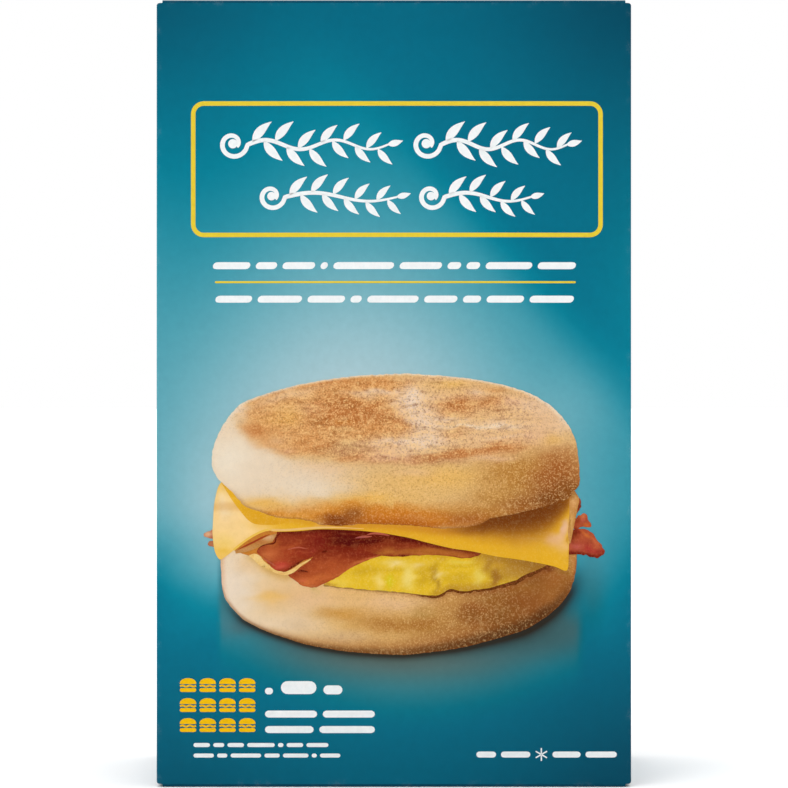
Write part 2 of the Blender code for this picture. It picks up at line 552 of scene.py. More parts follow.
def coated(name, make_colour, roughness=0.38, specular=0.06, fibre=6e-6):
    """Varnished board or ink: its colour, slightly uneven, and the board's fibres as fine relief."""
    material = bpy.data.materials.new(name)
    material.use_nodes = True
    tree = material.node_tree
    shader = tree.nodes["Principled BSDF"]
    colour = make_colour(tree)
    value = ramp(tree, noise(tree, 300.0, 4.0, 0.6), 0.3, 0.7, 0.97, 1.03)
    colour = add(tree, "HueSaturation", {"Color": colour, "Value": value}).outputs[0]
    tree.links.new(colour, shader.inputs["Base Color"])
    gloss = ramp(tree, noise(tree, 90.0, 3.0), 0.3, 0.7, roughness - 0.05, roughness + 0.05)
    tree.links.new(gloss, shader.inputs["Roughness"])
    shader.inputs["Specular IOR Level"].default_value = specular
    waves = add(tree, "Bump", {"Height": noise(tree, 35.0, 2.0), "Distance": 5e-5, "Strength": 1.0})
    fine = {"Height": noise(tree, 1300.0, 4.0, 0.6), "Distance": fibre, "Strength": 1.0}
    relief = add(tree, "Bump", {**fine, "Normal": waves.outputs[0]})
    tree.links.new(relief.outputs[0], shader.inputs["Normal"])
    return material


def printed_board():
    """The ground's print, worn to bare paper in flecks along the folds."""
    def colour(tree):
        ink = add(tree, "Attribute", attribute_name="paint").outputs["Color"]
        wear = add(tree, "Attribute", attribute_name="wear").outputs["Fac"]
        coarse = ramp(tree, noise(tree, 150.0, 4.0, 0.6), 0.52, 0.66)
        fine = ramp(tree, noise(tree, 1800.0, 3.0, 0.6), 0.42, 0.6)
        share = times(tree, times(tree, times(tree, wear, coarse), fine), 0.06)
        return blend(tree, share, ink, rgba((214, 220, 216)))
    return coated("printed_board", colour)


def raw_board():
    """The board's cut edge: grey-white pulp with darker fibre."""
    def colour(tree):
        fibres = ramp(tree, noise(tree, 2600.0, 4.0, 0.7), 0.35, 0.65)
        return blend(tree, fibres, rgba((168, 160, 144)), rgba((222, 217, 204)))
    return coated("raw_board", colour, roughness=0.8, specular=0.3, fibre=2e-5)


def plain_ink(name, ink, thin):
    """One ink, thinner in small clouds where the screen under it shows."""
    def colour(tree):
        clouds = ramp(tree, noise(tree, 800.0, 5.0, 0.6), 0.45, 0.8, 0.0, 0.35)
        return blend(tree, clouds, rgba(ink), rgba(thin))
    return coated(name, colour)


def food_ink(name, dark, light, crumb):
    """A picture's painted colours with its grain: mottling, fine sand and level streaks, each dark and light.

    The grain mask's red, green and blue say how much of each of the three there is. Where there is sand
    there are bright crumbs too.
    """
    def colour(tree):
        ink = add(tree, "Attribute", attribute_name="paint").outputs["Color"]
        mask = add(tree, "Attribute", attribute_name="grain").outputs["Color"]
        shares = add(tree, "SeparateColor", {"Color": mask}).outputs[:3]
        grains = [
            noise(tree, 520.0, 5.0, 0.65),
            noise(tree, 1500.0, 1.5, 0.6),
            noise(tree, 1.0, 4.0, 0.6, (150, 150, 560)),
        ]
        for share, grain in zip(shares, grains):
            ink = blend(tree, times(tree, share, ramp(tree, grain, 0.47, 0.3)), ink, rgba(dark))
            ink = blend(tree, times(tree, share, ramp(tree, grain, 0.53, 0.68)), ink, rgba(light))
        crumbs = ramp(tree, noise(tree, 1300.0, 0.0), 0.68, 0.8)
        return blend(tree, times(tree, shares[1], crumbs), ink, rgba(crumb))
    return coated(name, colour)


PRINTED_BOARD = printed_board()
RAW_BOARD = raw_board()
WHITE_INK = plain_ink("white_ink", WHITE, (214, 234, 238))
YELLOW_INK = plain_ink("yellow_ink", YELLOW, (216, 190, 60))
SUN_INK = plain_ink("sun_yellow_ink", SUN_YELLOW, (236, 184, 30))
# Dark ink prints the left panel's table, and draws the top tab's slits as painted shade.
DARK_INK = plain_ink("dark_ink", (28, 40, 46), (44, 60, 68))
BREAD_INK = food_ink("bread_print", (142, 76, 28), (250, 206, 140), (250, 212, 146))
CHEESE_INK = food_ink("cheese_print", (214, 146, 40), (252, 226, 150), (252, 226, 150))
BACON_INK = food_ink("bacon_print", (92, 24, 10), (206, 116, 66), (226, 140, 90))
EGG_INK = food_ink("egg_print", (196, 150, 34), (250, 224, 150), (250, 226, 160))
SHADOW_INK = food_ink("shadow_print", (10, 30, 38), (120, 170, 180), (120, 170, 180))


# The board shell

def girth_ring():
    """The walls' level outline from the front panel's left fold round to the left panel's front fold.

    Four arrays with one row for each column of the walls: the flat place, the full crown's move, the
    girth from the front's middle, and the wear. The last two columns of the back fold are the seam's cut
    edge, so their place in the ring is returned too.
    """
    places, moves, girths, wear = [], [], [], []

    def run(flat, move, girth, worn):
        places.append(flat)
        moves.append(move)
        girths.append(girth)
        wear.append(np.full(len(flat), worn))

    def wall(start, end, out, depth, girth_start, girth_end, step):
        count = int(np.hypot(*np.subtract(end, start)) / step) + 1
        share = np.linspace(0, 1, count)[1:-1, None]
        flat = np.array(start) * (1 - share) + np.array(end) * share
        along = flat[:, 0] / (HALF_W - FOLD) if out[1] else flat[:, 1] / (HALF_D - FOLD)
        move = np.array(out) * depth * swell(along)[:, None]
        run(flat, move, girth_start + (girth_end - girth_start) * share[:, 0], 0.0)

    def fold(centre, start, girth):
        flat = arc(centre, FOLD, start)
        run(flat, flat * 0, girth + np.linspace(-FOLD, FOLD, len(flat)), 1.0)

    x, y = HALF_W - FOLD, HALF_D - FOLD
    fold((-x, -y), 180, -HALF_W)
    wall((-x, -HALF_D), (x, -HALF_D), (0, -1), FRONT_CROWN, -x, x, WIDE_STEP)
    fold((x, -y), 270, HALF_W)
    wall((HALF_W, -y), (HALF_W, y), (1, 0), SIDE_CROWN, QUARTER - y, QUARTER + y, NARROW_STEP)
    fold((x, y), 0, HALF_W + 2 * HALF_D)
    back = 2 * QUARTER
    wall((x, HALF_D), (BOARD - x, HALF_D), (0, 1), FRONT_CROWN, back - x, back + x, WIDE_STEP)
    fold((BOARD - x, y), 90, 3 * HALF_W + 2 * HALF_D)
    seam = sum(len(flat) for flat in places)
    left, cut = 3 * QUARTER, HALF_D - SEAM_SHORT
    edge = np.array([(BOARD - HALF_W, cut), (-HALF_W, cut)])
    run(edge, edge * 0, np.full(2, left - y), 1.0)
    wall((-HALF_W, cut), (-HALF_W, -y), (-1, 0), SIDE_CROWN, left - y, left + y, NARROW_STEP)
    return [np.concatenate(rows) for rows in (places, moves, girths, wear)] + [seam]


def walls():
    """The four panels as level rings stacked up, with the side panels turned in at both ends.

    A ring at height z is the flat outline plus the panels' crown times (1 - s^2)^2, with s from -1 to 1
    between the end folds. In an end fold its width shrinks by a quarter turn of the fold's radius. The first
    and the last ring collapse to the middle, which closes the shell.
    """
    places, moves, girths, worn, seam = girth_ring()
    turn = np.linspace(0, math.pi / 2, 5)[1:]
    middle = np.linspace(FOLD_END, HEIGHT - FOLD_END, int(HEIGHT / WIDE_STEP))
    low = FOLD_END - FOLD * np.sin(turn[::-1])
    z = np.concatenate([[PANEL_END], low, middle, HEIGHT - low[::-1], [HEIGHT - PANEL_END]])
    inward = np.concatenate([[1], 1 - np.cos(turn[::-1]), middle * 0, 1 - np.cos(turn), [1]])
    scale = (1 - FOLD * inward / HALF_W)[:, None]
    scale[[0, -1]] = 0.0
    depth = np.ones_like(scale)
    depth[[0, -1]] = 0.0
    crowned = level_swell(z)[:, None]
    x = places[:, 0] * scale + moves[:, 0] * crowned
    y = places[:, 1] * depth + moves[:, 1] * crowned
    points = np.stack([x, y, z[:, None] + 0 * x], axis=-1)
    girth, height = girths + 0 * x, z[:, None] + 0 * x
    ends = 1.0 - smoothstep(0.0, END_WEAR, np.minimum(height, HEIGHT - height) - PANEL_END)
    near = 1.0 - smoothstep(0.0, FOLD_WEAR, (girth + HALF_W) % (2 * QUARTER) % (2 * HALF_W))
    wear = np.maximum(np.maximum(ends, 0.8 * near), worn + 0 * x)
    fields = {"paint": linear(ground(girth, height)), "wear": wear[..., None]}

    def columns(start, end, material):
        cut = {name: value[:, start:end] for name, value in fields.items()}
        return part(points[:, start:end], fields=cut, material=material)

    count = points.shape[1]
    closing = {name: value[:, [-1, 0]] for name, value in fields.items()}
    parts = [
        columns(0, seam + 1, 0),
        columns(seam, seam + 2, 1),
        columns(seam + 1, count, 0),
        part(points[:, [-1, 0]], fields=closing),
    ]
    made = piece("carton_walls", parts, [PRINTED_BOARD, RAW_BOARD], closed=True, sharp=BOARD_SHARP)
    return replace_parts(made, "carton")


def flap(name, outer, inner, half_width, top):
    """A board flap: matching outer and inner (y, z) profiles carried along x, and closed all round.

    Its outer face is printed, and its cut edges are raw board. A bottom flap is a top one turned over.
    """
    x = np.linspace(-half_width, half_width, int(half_width / WIDE_STEP))

    def face(rows, across, material):
        z = rows[..., 1] if top else HEIGHT - rows[..., 1]
        points = np.stack(np.broadcast_arrays(across, rows[..., 0], z), axis=-1)
        across, y, z = np.moveaxis(points, -1, 0)
        edge = np.minimum(HALF_D - np.abs(y), half_width - np.abs(across))
        wear = 1.0 - smoothstep(0.0, END_WEAR, edge)
        fields = {"paint": linear(ground(QUARTER + y, z)), "wear": wear[..., None]}
        return part(points, fields=fields, material=material)

    parts = [face(outer[:, None], x[None], 0), face(inner[:, None], x[None], 1)]
    rims = np.stack([outer, inner])
    for end in (0, -1):
        parts += [face(rims[:, end, None], x[None], 1), face(rims, x[end], 1)]
    return piece(name, parts, [PRINTED_BOARD, RAW_BOARD], closed=True, sharp=BOARD_SHARP)


def bent(centre, radius, side, cut, z):
    """A flap's (y, z) profile: a quarter turn up from z at its crease, then level to its cut edge.

    The crease is on one side of the bend's centre: 1 is the back, -1 the front.
    """
    quarter = np.linspace(0, math.pi / 2, 6)
    crease = np.stack([centre + side * radius * np.cos(quarter), z + radius * np.sin(quarter)], axis=1)
    along = centre + (cut - centre) * np.linspace(0, 1, 40)[1:]
    return np.vstack([crease, np.stack([along, np.full(len(along), z + radius)], axis=1)])


def flaps():
    """At each end an inner flap from the back crease, and an outer flap from the front crease over it."""
    panel_top = HEIGHT - PANEL_END
    back = HALF_D - BOARD
    for end, top in (("top", True), ("bottom", False)):
        outer = bent(back, BOARD, 1, INNER_FLAP_SHORT - HALF_D, panel_top)
        inner = np.stack([np.minimum(outer[:, 0], back), np.full(len(outer), panel_top)], axis=1)
        flap(f"{end}_inner_flap", outer[::-1], inner[::-1], HALF_W - FLAP_SETBACK, top)
        profiles = [bent(PANEL_END - HALF_D, radius, -1, HALF_D - OUTER_FLAP_SHORT, panel_top)
                    for radius in (PANEL_END, BOARD)]
        flap(f"{end}_outer_flap", *profiles, HALF_W - FLAP_SETBACK - LAYER_INSET, top)


# The picture of the sandwich, drawn at the size and place that it has on the front panel.
CROWN_OUTLINE = [
    (-60.3, 153.8), (-65.4, 148.9), (-68.9, 143.6), (-71.5, 138), (-72.8, 132.9), (-72.5, 127.8),
    (-71, 124.2), (-68.4, 121.5), (-64.8, 118.2), (-61.7, 114.6), (-59.2, 112.2), (-54.6, 110.6),
    (-49, 108.5), (-44.4, 107.5), (-38.8, 107.3), (-31.6, 106), (-29.1, 104.9), (-17.4, 104.7),
    (-13.3, 105.3), (2.4, 104.9), (11.9, 104.2), (19.4, 103.5), (29.1, 104), (35.4, 105.6), (38.3, 107.4),
    (46.4, 109), (57.8, 111.6), (69.3, 115.3), (71.6, 118.2), (74, 120.6), (74.3, 125), (73.4, 134.4),
    (72.4, 139.5), (69.8, 144.6), (66.3, 149.2), (61.7, 153.3), (55.5, 156.9), (48.9, 159.4), (41.3, 161.5),
    (31.1, 163.3), (20.8, 164.4), (10.6, 165.2), (0.4, 165.3), (-16.9, 164.3), (-31.7, 162.2),
    (-39.8, 160.5), (-49, 158),
]
HEEL_OUTLINE = [
    (-69.1, 91.4), (-69.1, 85.7), (-68.5, 79.1), (-66.9, 74.5), (-61.8, 68.4), (-57.2, 65.3), (-50.6, 62.2),
    (-41.9, 59.2), (-32.7, 56.6), (-17.4, 54.1), (0.4, 53), (8.1, 53.3), (15.7, 54.1), (26, 55.6),
    (36.2, 58.1), (46.4, 61), (54, 63.8), (63.2, 69.9), (69.3, 76.5), (71.6, 81.6), (72.8, 86.7),
    (73.1, 91), (71.6, 95.2), (60, 97), (30, 97.4), (0, 97.6), (-30, 97.6), (-56, 97), (-66, 95.4),
]
FILLING = [
    (-64.6, 95.4), (-61, 100), (-55, 103.6), (-46, 104.6), (-10, 105), (30, 99), (60, 92), (61, 89),
    (50, 84.5), (28, 80), (0, 80), (-28, 82.5), (-44, 86.5), (-56, 91.8),
]
EGG_TOP = [
    (-28.1, 81.1), (-22.5, 84.8), (-17.4, 89), (-9.7, 93), (2.4, 94.5), (28, 94), (46.4, 92.5),
    (62.4, 89.4),
]
EGG_FOOT = [
    (-28.1, 80.9), (-13.8, 79.3), (2.4, 78.1), (11.9, 77), (18, 76.9), (22.6, 79.2), (27.7, 78.5),
    (33, 79.1), (38.4, 79.7), (44, 81.4), (48, 82.5), (52, 84.6), (56, 86.4), (60, 88.2), (62.4, 89),
]
BACON_BACK_TOP = [(-17.4, 94), (-15.3, 99.6), (-9.2, 104), (0.4, 103), (17.7, 98.4), (35.4, 94.2)]
BACON_BACK_FOOT = [
    (-17.4, 93.8), (-8.2, 93.2), (0.4, 92.3), (11.9, 92.8), (20.5, 92.5), (28, 91.5), (32.6, 92.3),
    (35.4, 93.8),
]
BACON_LOWER = [
    (-42.4, 85), (-38.8, 87.2), (-34.7, 89.7), (-32.7, 91.6), (-29.1, 94.8), (-16.3, 95.8), (-8.2, 93.5),
    (-4.9, 92.8), (-9.7, 91.1), (-17.4, 87.6), (-22.5, 84), (-28, 81.4), (-31.6, 79.9), (-35, 80.2),
    (-37.6, 81.2), (-40, 83),
]
BACON_FRONT = [
    (-54.9, 94.1), (-53.1, 96.3), (-49, 97.8), (-46.9, 101), (-44.9, 103.4), (-29.1, 104.6), (-9.7, 104),
    (-12.2, 99.8), (-14, 97.3), (-16.1, 94.2), (-29.1, 93.6), (-32.7, 92.1), (-35.2, 91.1), (-38.8, 89.3),
    (-41.8, 86.8), (-44.9, 86.2), (-49, 88), (-52, 91.6),
]
FAT_FOLD = [
    (-57.8, 92.6), (-55.2, 92), (-52.7, 89.5), (-49.7, 87.8), (-46.2, 86.2), (-43.2, 85.7), (-40.2, 86.7),
    (-37.3, 88.9), (-33.3, 91.2),
]
RASHER_STRIP = [(-63.4, 94), (-58.8, 95.2), (-54, 97.3), (-49.6, 99.3), (-46.4, 100.2)]
STRIP_GAP = [(-62.4, 95), (-60, 96.2), (-56.1, 98.1), (-52.4, 100), (-49.6, 101.2)]
# Folds of the rashers: (width, places along it).
DARK_FOLDS = [
    (0.8, [(-42.4, 87.2), (-39.6, 88.7), (-37.4, 90.2), (-35.6, 91.2)]),
    (0.6, [(-54.4, 95.2), (-52.8, 96.5), (-50.4, 97.2), (-47.8, 97.7), (-46.8, 100.3), (-44.6, 101.9),
           (-41, 102.2)]),
    (0.8, [(-16.4, 98.3), (-12, 99.1), (-7, 99.6), (-3, 99.9), (0.6, 99.2)]),
    (0.7, [(-38.6, 86.3), (-36.6, 86.6), (-34.4, 86.1)]),
    (0.8, [(-28.8, 94), (-27.6, 94.4), (-26.4, 94.1)]),
    (0.5, [(1.8, 92.9), (3.6, 92.7), (6, 92.9)]),
]
LIGHT_FOLDS = [
    (0.9, [(-15.4, 99.7), (-12.4, 100.2), (-8.8, 100.3)]),
    (0.9, [(-10.8, 101.1), (-7.6, 101.6), (-4.6, 101.3), (-1.8, 100.7)]),
    (0.6, [(-52.6, 91.6), (-50, 90.2), (-47.2, 88.4)]),
    (0.5, [(-42.6, 95), (-38.6, 95.9), (-34.6, 95.4)]),
]
BACON_TIPS = [
    [(72.6, 114.2), (74.2, 115.4), (75, 114), (74.6, 111.6), (73.8, 110), (72.4, 109.4)],
    [(70, 105.6), (74.5, 109), (76.8, 109), (77.6, 107.3), (78.6, 105.9), (78.5, 104.3), (76.8, 104),
     (74.5, 103.7), (69.6, 103.2)],
    [(69, 96.7), (70.2, 102.1), (75, 103.6), (77.3, 103), (80.8, 99.8), (83.1, 96.4), (84.3, 94.1),
     (83.1, 92.4), (81.4, 91.5), (76.8, 92.8), (69, 93.4)],
    [(-71, 103.5), (-73.7, 102.5), (-76.1, 101.4), (-75.5, 100.2), (-73.7, 99.5), (-71, 99.2)],
    [(-71, 98.9), (-74.3, 97.9), (-73.6, 96.5), (-71, 95.9)],
]
CHEESE_TOP = [
    (-72.6, 102.4), (-71.6, 115), (-68.4, 122.2), (-60, 118), (-37.6, 112.8), (34.4, 112.8), (60, 117),
    (70.6, 119.4), (74, 115.6),
]
CHEESE_FOOT = [
    (-72.6, 102.2), (-72.2, 97.3), (-71.4, 93.7), (-69.7, 91.1), (-67.4, 92.2), (-63.8, 95), (-59.7, 98.3),
    (-55.6, 100.9), (-52, 102.4), (-50, 102.7), (-46.9, 102.2), (-38.8, 102.4), (-29.1, 103.2),
    (-16.3, 102.8), (-10, 102.3), (-5, 101.8), (0, 100.9), (6, 99.8), (12, 98.2), (18, 96.7), (24, 95.4),
    (31, 94.4), (40.6, 92.4), (52.1, 90.7), (63.6, 88.4), (68.2, 86.6), (69.6, 87.4), (70, 91.2), (70, 97),
    (70.6, 102), (71.8, 105.6), (73, 112), (74, 115.3),
]
CHEESE_FOLD = [
    (-68.9, 122.4), (-59.2, 113.4), (-44.9, 109.5), (-40.8, 108.3), (-44.9, 105.4), (-53.1, 105),
    (-57.2, 106), (-60.7, 109.5), (-65.3, 115.7),
]
CHEESE_SIDE = [
    (70.4, 117.4), (72.2, 118.2), (74.1, 115.3), (73.5, 111.8), (72.9, 108.5), (71.8, 103.2), (70.4, 97.2),
    (69.6, 101.4), (69.8, 105), (70.2, 109.5),
]
CHEESE_LIP = [(-64.2, 94.9), (-59.7, 98.4), (-55.6, 101), (-52, 102.6), (-50, 103)]
CHEESE_RIM = [(-49, 102.9), (-43, 102.9), (-38.8, 103.2), (-29.1, 103.9), (-20, 103.8), (-12, 103.4)]
TIP_FOOT = [(69, 93.4), (76.8, 92.8), (81.4, 91.5), (83.1, 92.4), (84.3, 94.1)]

# Shades from an edge line up or down: (edge, colour, stations along x, depths and strengths there).
CROWN_FOOT = CROWN_OUTLINE[10:29]
HEEL_FOOT = HEEL_OUTLINE[2:22]
CHEESE_SHADES = [
    (CROWN_FOOT, (206, 130, 42), [-36, -20, 0, 14, 24],
     [1.8, 1.9, 1.9, 2.4, 2.8], [.3, .6, .6, .7, .7]),
    (CROWN_FOOT, CHEESE_TAN, [14, 30, 38, 48, 56, 62, 65, 67, 70],
     [1.6, 4.4, 7.4, 10.8, 11.8, 11.6, 10.4, 8.6, 6], [0, .6, .8, .85, .85, .85, .8, .7, .5]),
    (CROWN_FOOT, CHEESE_BROWN, [20, 34, 38, 48, 56, 60, 63, 66, 68, 70],
     [1.4, 3.8, 5.6, 8.2, 9.2, 9, 8.2, 6.6, 5.4, 4.4], [0, .75, .92, .95, .95, .95, .93, .85, .75, .5]),
]
HEEL_SHADES = [
    (HEEL_FOOT, BARK, [-60, -30, 0, 30, 60, 70], [1.6, 3, 5.4, 8, 7, 4], [.12, .4, .6, .75, .6, .2]),
    (HEEL_FOOT, DARK_NUT, [-60, -30, 0, 30, 60, 70], [1, 1.4, 2.4, 3.8, 4.6, 3], [.2, .5, .55, .8, .9, .5]),
    (EGG_FOOT, BARK, [-28, -22, 10, 30, 44, 60, 64],
     [1, 1, 1.6, 2.4, 3.2, 2.8, 2], [0, .2, .4, .6, .85, .85, 0]),
    (FAT_FOLD, (208, 160, 84), [-61, -57, -50, -42, -36], [1.4, 2.6, 3, 3.4, 2], [0, .5, .65, .7, 0]),
]
EGG_SHADES = [
    (CHEESE_FOOT[13:27], SHADED_EGG, [20, 32, 44, 58, 64], [1, 2.2, 3, 2.6, 2], [0, .5, .7, .8, .8]),
    (EGG_FOOT, SHADED_EGG, [12, 18, 30, 38, 44], [1.4, 2.4, 2.8, 2.4, 1.4], [0, .45, .5, .4, 0]),
]
BACON_SHADES = [
    (CHEESE_FOOT[9:23], (84, 14, 10), [-46, -40, -14, 8, 20, 34],
     [1, 1.1, 1.3, 1.6, 1.3, 1], [.2, .6, .7, .8, .6, .4]),
]
TIP_SHADES = [
    (TIP_FOOT, (112, 26, 18), [60, 69, 80, 84], [1.1, 1.2, 1.1, .9], [0, .9, .85, .6]),
]

# Patches of colour in the picture, in the form that painted() takes, and from the first painted to the last.
CROWN_PAINT = [
    (CREAM, -58.7, 128.8, 21.4, 16.8, 1, 4),
    (PALE, -67, 132, 9, 12, .8),
    (CREAM, -36, 123, 24, 7.2, .95, 3),
    (PEACH, -26, 127, 12, 4, .4),
    (GOLD, 3.5, 121.7, 21.4, 4.6, .8),
    (HONEY, 21.9, 123.7, 15.3, 5.1, .6),
    (OCHRE, 51, 125, 17, 10, .98, 3),
    (CRUST, 66.5, 124, 11, 12, .98, 3),
    (BARK, 65, 117, 11, 5.6, .9),
    ((214, 130, 38), 0, 109, 46, 4.6, 1, 4),
    (AMBER, -46, 109.4, 11, 2.4, .85),
    (HONEY, -51, 113.4, 13, 2.4, .85),
    (HONEY, -10, 115.4, 17, 2.4, .9),
    (CREAM, -34, 118.4, 13, 3.6, .8),
    (CREAM, -40, 115.4, 4, 1.8, .6),
    (GOLD, 8, 116.5, 14, 3, .7),
    (OCHRE, 33, 109.5, 16, 3.6, .9),
    (TAN, 39, 114, 10, 4, .8),
    (OCHRE, 40, 108.6, 9, 2.6, .8),
    (BARK, 52, 112.2, 9, 4.2, .85),
    (UMBER, 63, 114.6, 9, 3.4, .9),
    (AMBER, -26.5, 110.6, 14.8, 3.1, .8),
    (AMBER, -16, 113.4, 3.6, 1.8, .8),
    (RUSSET, 3, 107.6, 20, 2.6, .7),
    ((186, 98, 22), 4, 105.4, 26, 2.7, .95, 3),
    ((134, 64, 22), -22, 106.6, 7.4, 3, .98, 3),
    (BARK, -15.6, 109.6, 4.6, 2.8, .85),
    (CRUST, 30, 107, 8, 2.8, .85),
    (AMBER, 17.1, 106.5, 4.3, 1.2, .6),
    (PALE_FACE, 31.1, 147.2, 36, 16, .85, 8),
    (FACE, -38, 148.4, 24.5, 16, 1, 12),
    (FACE, -12, 147, 27, 17, 1, 10),
    (AMBER_ROSE, -52, 150, 4.6, 1.8, .5),
    (TOAST, -55.2, 142.6, 4.6, 1.8, .7),
    (HONEY, -42, 149.6, 4.4, 4, .45),
    (PEACH, -46.5, 138.6, 4.2, 1.6, .5),
    (ROSE_FLOUR, -42, 135, 2.6, 1.3, .5),
    (ORANGE, -33, 138, 6, 4.6, .7),
    (TOAST, -17, 150, 17.5, 6.6, .8, 4),
    (CRUST, -21.5, 154.4, 5.4, 2.4, .5),
    (CRUST, -29, 146.6, 5, 1.6, .4),
    (CRUST, -9, 149.2, 5, 1.3, .3),
    (CRUST, -3, 146.4, 4.6, 1.5, .35),
    (ORANGE, -12, 155.4, 4, 1.3, .7),
    (AMBER, -21.5, 146.2, 4.6, 1.1, .5),
    (BISCUIT, -19.6, 142.8, 3.1, 1, .6),
    (ORANGE, -7, 143.4, 8, 1.6, .8),
    (FLOUR, -9.7, 157.6, 8.7, 1.4, .7),
    (GREY_CRUMB, -18, 135.8, 9, 2.8, .8),
    (TOAST, -27, 137.2, 3.6, 1.3, .6),
    (ROSY, -20, 134, 5, 1, .6),
    (TOAST, -15.9, 131.6, 7.7, 1.1, .7),
    (PEACH, -6.5, 136.4, 6.5, 2.6, .85),
    (ROSY, 1, 131.1, 5.6, 1, .6),
    (FLOUR, 6.6, 154.4, 5.6, 7.1, .98),
    (FLOUR, 11.7, 147.2, 8.7, 7.6, .85),
    (ORANGE, 2, 145.2, 5, 3.4, .85),
    (TOAST, 1, 147, 2.6, 1.2, .6),
    (HONEY, 22, 161, 7, 1.2, .6),
    (ORANGE, 40, 159.4, 5, 1.3, .6),
    (FLOUR, 33.1, 157.7, 4.1, 1.5, .7),
    (TOAST, 26.4, 153.2, 8, 3.4, .95),
    (ORANGE, 20, 149.8, 5.1, 1.6, .5),
    (TOAST, 38.6, 153.6, 5, 2.6, .65),
    (ROSE_FLOUR, 49.9, 154.1, 6.1, 2.4, .7),
    (FLOUR, 40.3, 144.6, 12.7, 1.5, .8),
    (ORANGE, 22.4, 140.6, 4.6, 1.4, .8),
    (FLOUR, 12.2, 138, 8.6, 3.4, .9),
    (PEACH, 36.2, 141.1, 12, 1.6, .5),
    (ROSE_FLOUR, 54.5, 141, 5.1, 2.3, .6),
    (TOAST, 42.6, 136, 7.4, 1.5, .85),
    (TOAST, 29.6, 134, 5.6, 1.5, .75),
    (ROSY, 17, 131.3, 9.7, 1.9, .85),
    (BARK, 11.7, 130.6, 4.6, 1, .35),
    (PEACH, 39.8, 131.6, 9, 1.1, .6),
    (PEACH, 8.1, 126.2, 8.1, 1.5, .5),
    (PEACH, 60.7, 148.2, 9.7, 10.7, .8, 3),
    (BLUSH, 66.3, 147.7, 4.1, 8.2, .6),
    (HONEY, 62.6, 139, 4.6, 2.4, .5),
    (AMBER_ROSE, -47, 156, 8.7, 2, .5),
    (ORANGE, -24.5, 161.3, 14, 2.2, .9),
    (TOAST, -22.5, 162.2, 4.6, 0.9, .5),
    (ORANGE, -3.6, 161.8, 13.2, 2.4, .9),
    (PEACH, 19.9, 163.2, 15.3, 1, .6),
    (TOAST, 22, 132.6, 26, 1.6, .75, 3, 6),
    (PALE_FACE, 2, 134.6, 11, 0.8, .8, 2, 3),
    (FLOUR, 4, 138.6, 14, 1.3, .8, 2, 4),
    (PALE_FACE, 26.6, 136.2, 11, 0.9, .8, 2, 5),
    ((246, 226, 196), 34, 144.4, 14, 0.9, .85),
    ((246, 224, 204), 7.4, 156, 2.4, 3.6, .9),
    (FLOUR, -5, 158, 9, 0.9, .6),
    (FLOUR, 23, 147, 7, 0.8, .6),
    (AMBER_ROSE, 26, 142.8, 7, 0.8, .6, 2, 4),
    (FLOUR, 44, 140, 9, 0.7, .5, 2, 5),
    (TOAST, 43, 135.6, 6.4, 1.1, .6, 2, 5),
    (BLUSH, -42, 156.6, 14, 1.8, .55, 2, 14),
    (BLUSH, -60.6, 150.6, 2.6, 2.4, .7),
    (BLUSH, -66.6, 143.4, 3.6, 5, .6),
    (PEACH, -35, 151.4, 9, 2.4, .35),
    (PALE_FACE, -9, 155.2, 5, 1.4, .5),
    (PEACH, 33, 155.6, 4, 1.4, .4),
    (PEACH, 55, 153, 5, 3.4, .4),
    (ROSE_FLOUR, -2, 132.9, 8, 2.2, .6),
    (BLUSH, 4.4, 138.8, 5, 2.6, .35),
    (ROSE_FLOUR, 45, 138.6, 9, 2, .3),
    ((240, 204, 150), -35, 112.8, 8, 1.8, .5),
    (CREAM, -38, 121.4, 14, 2.6, .4),
    (UMBER, 69.6, 117.6, 5.5, 5.6, .55),
    (FLOUR, 3, 134, 7, 4, .26),
    (PALE, -66.6, 143.6, 4, 5, .4),
    (FLOUR, 57, 151.6, 7, 3, .3),
    (BLUSH, -36, 156, 6, 1.6, .35),
    (BLUSH, -10, 155.4, 3, 1.4, .4),
    (FLOUR, 20, 156.2, 9, 1.6, .25),
    (BISCUIT, 20, 112.4, 15, 1.8, .3),
    (PALE_FACE, -37, 111, 8, 1.6, .4),
    (AMBER_ROSE, 10, 107.8, 11, 1.6, .3),
    ((250, 190, 110), -35, 155.6, 9, 2.4, .25),
    (TOAST, -23.6, 155, 5, 2.4, .4),
    (HONEY, -46, 146.6, 6, 2.4, .3),
    ((250, 190, 110), -10, 155.6, 5, 2, .25),
    (FLOUR, 4.4, 155.6, 6, 3, .5),
    (BLUSH, 55, 154, 7, 3.4, .3),
    (PALE, -62, 150, 5, 4, .3),
    (TOAST, -24, 149, 6, 4, .5),
    (TOAST, -2.8, 150.8, 5, 1.6, .25),
    (FLOUR, 11.6, 146, 6, 3, .5),
    (FLOUR, 44, 145.4, 9, 3, .25),
    (FLOUR, 5.4, 136.4, 6, 3, .3),
    (ROSE_FLOUR, -2, 131.6, 14, 2.4, .35),
    (FLOUR, 29.6, 138.4, 9, 4, .15),
    (ROSE_FLOUR, 40.4, 131.6, 7, 2, .3),
    (PALE, -35, 119.6, 12, 4, .25),
    ((190, 132, 52), 40.4, 116, 9, 3.4, .35),
    ((140, 78, 26), 69.2, 117.2, 5, 3.4, .55),
    ((172, 104, 34), 51, 112.4, 8, 2.4, .3),
    ((178, 100, 30), 33.2, 107.6, 7, 2.4, .35),
    ((232, 176, 76), -38.8, 107.6, 6, 1.8, .25),
]
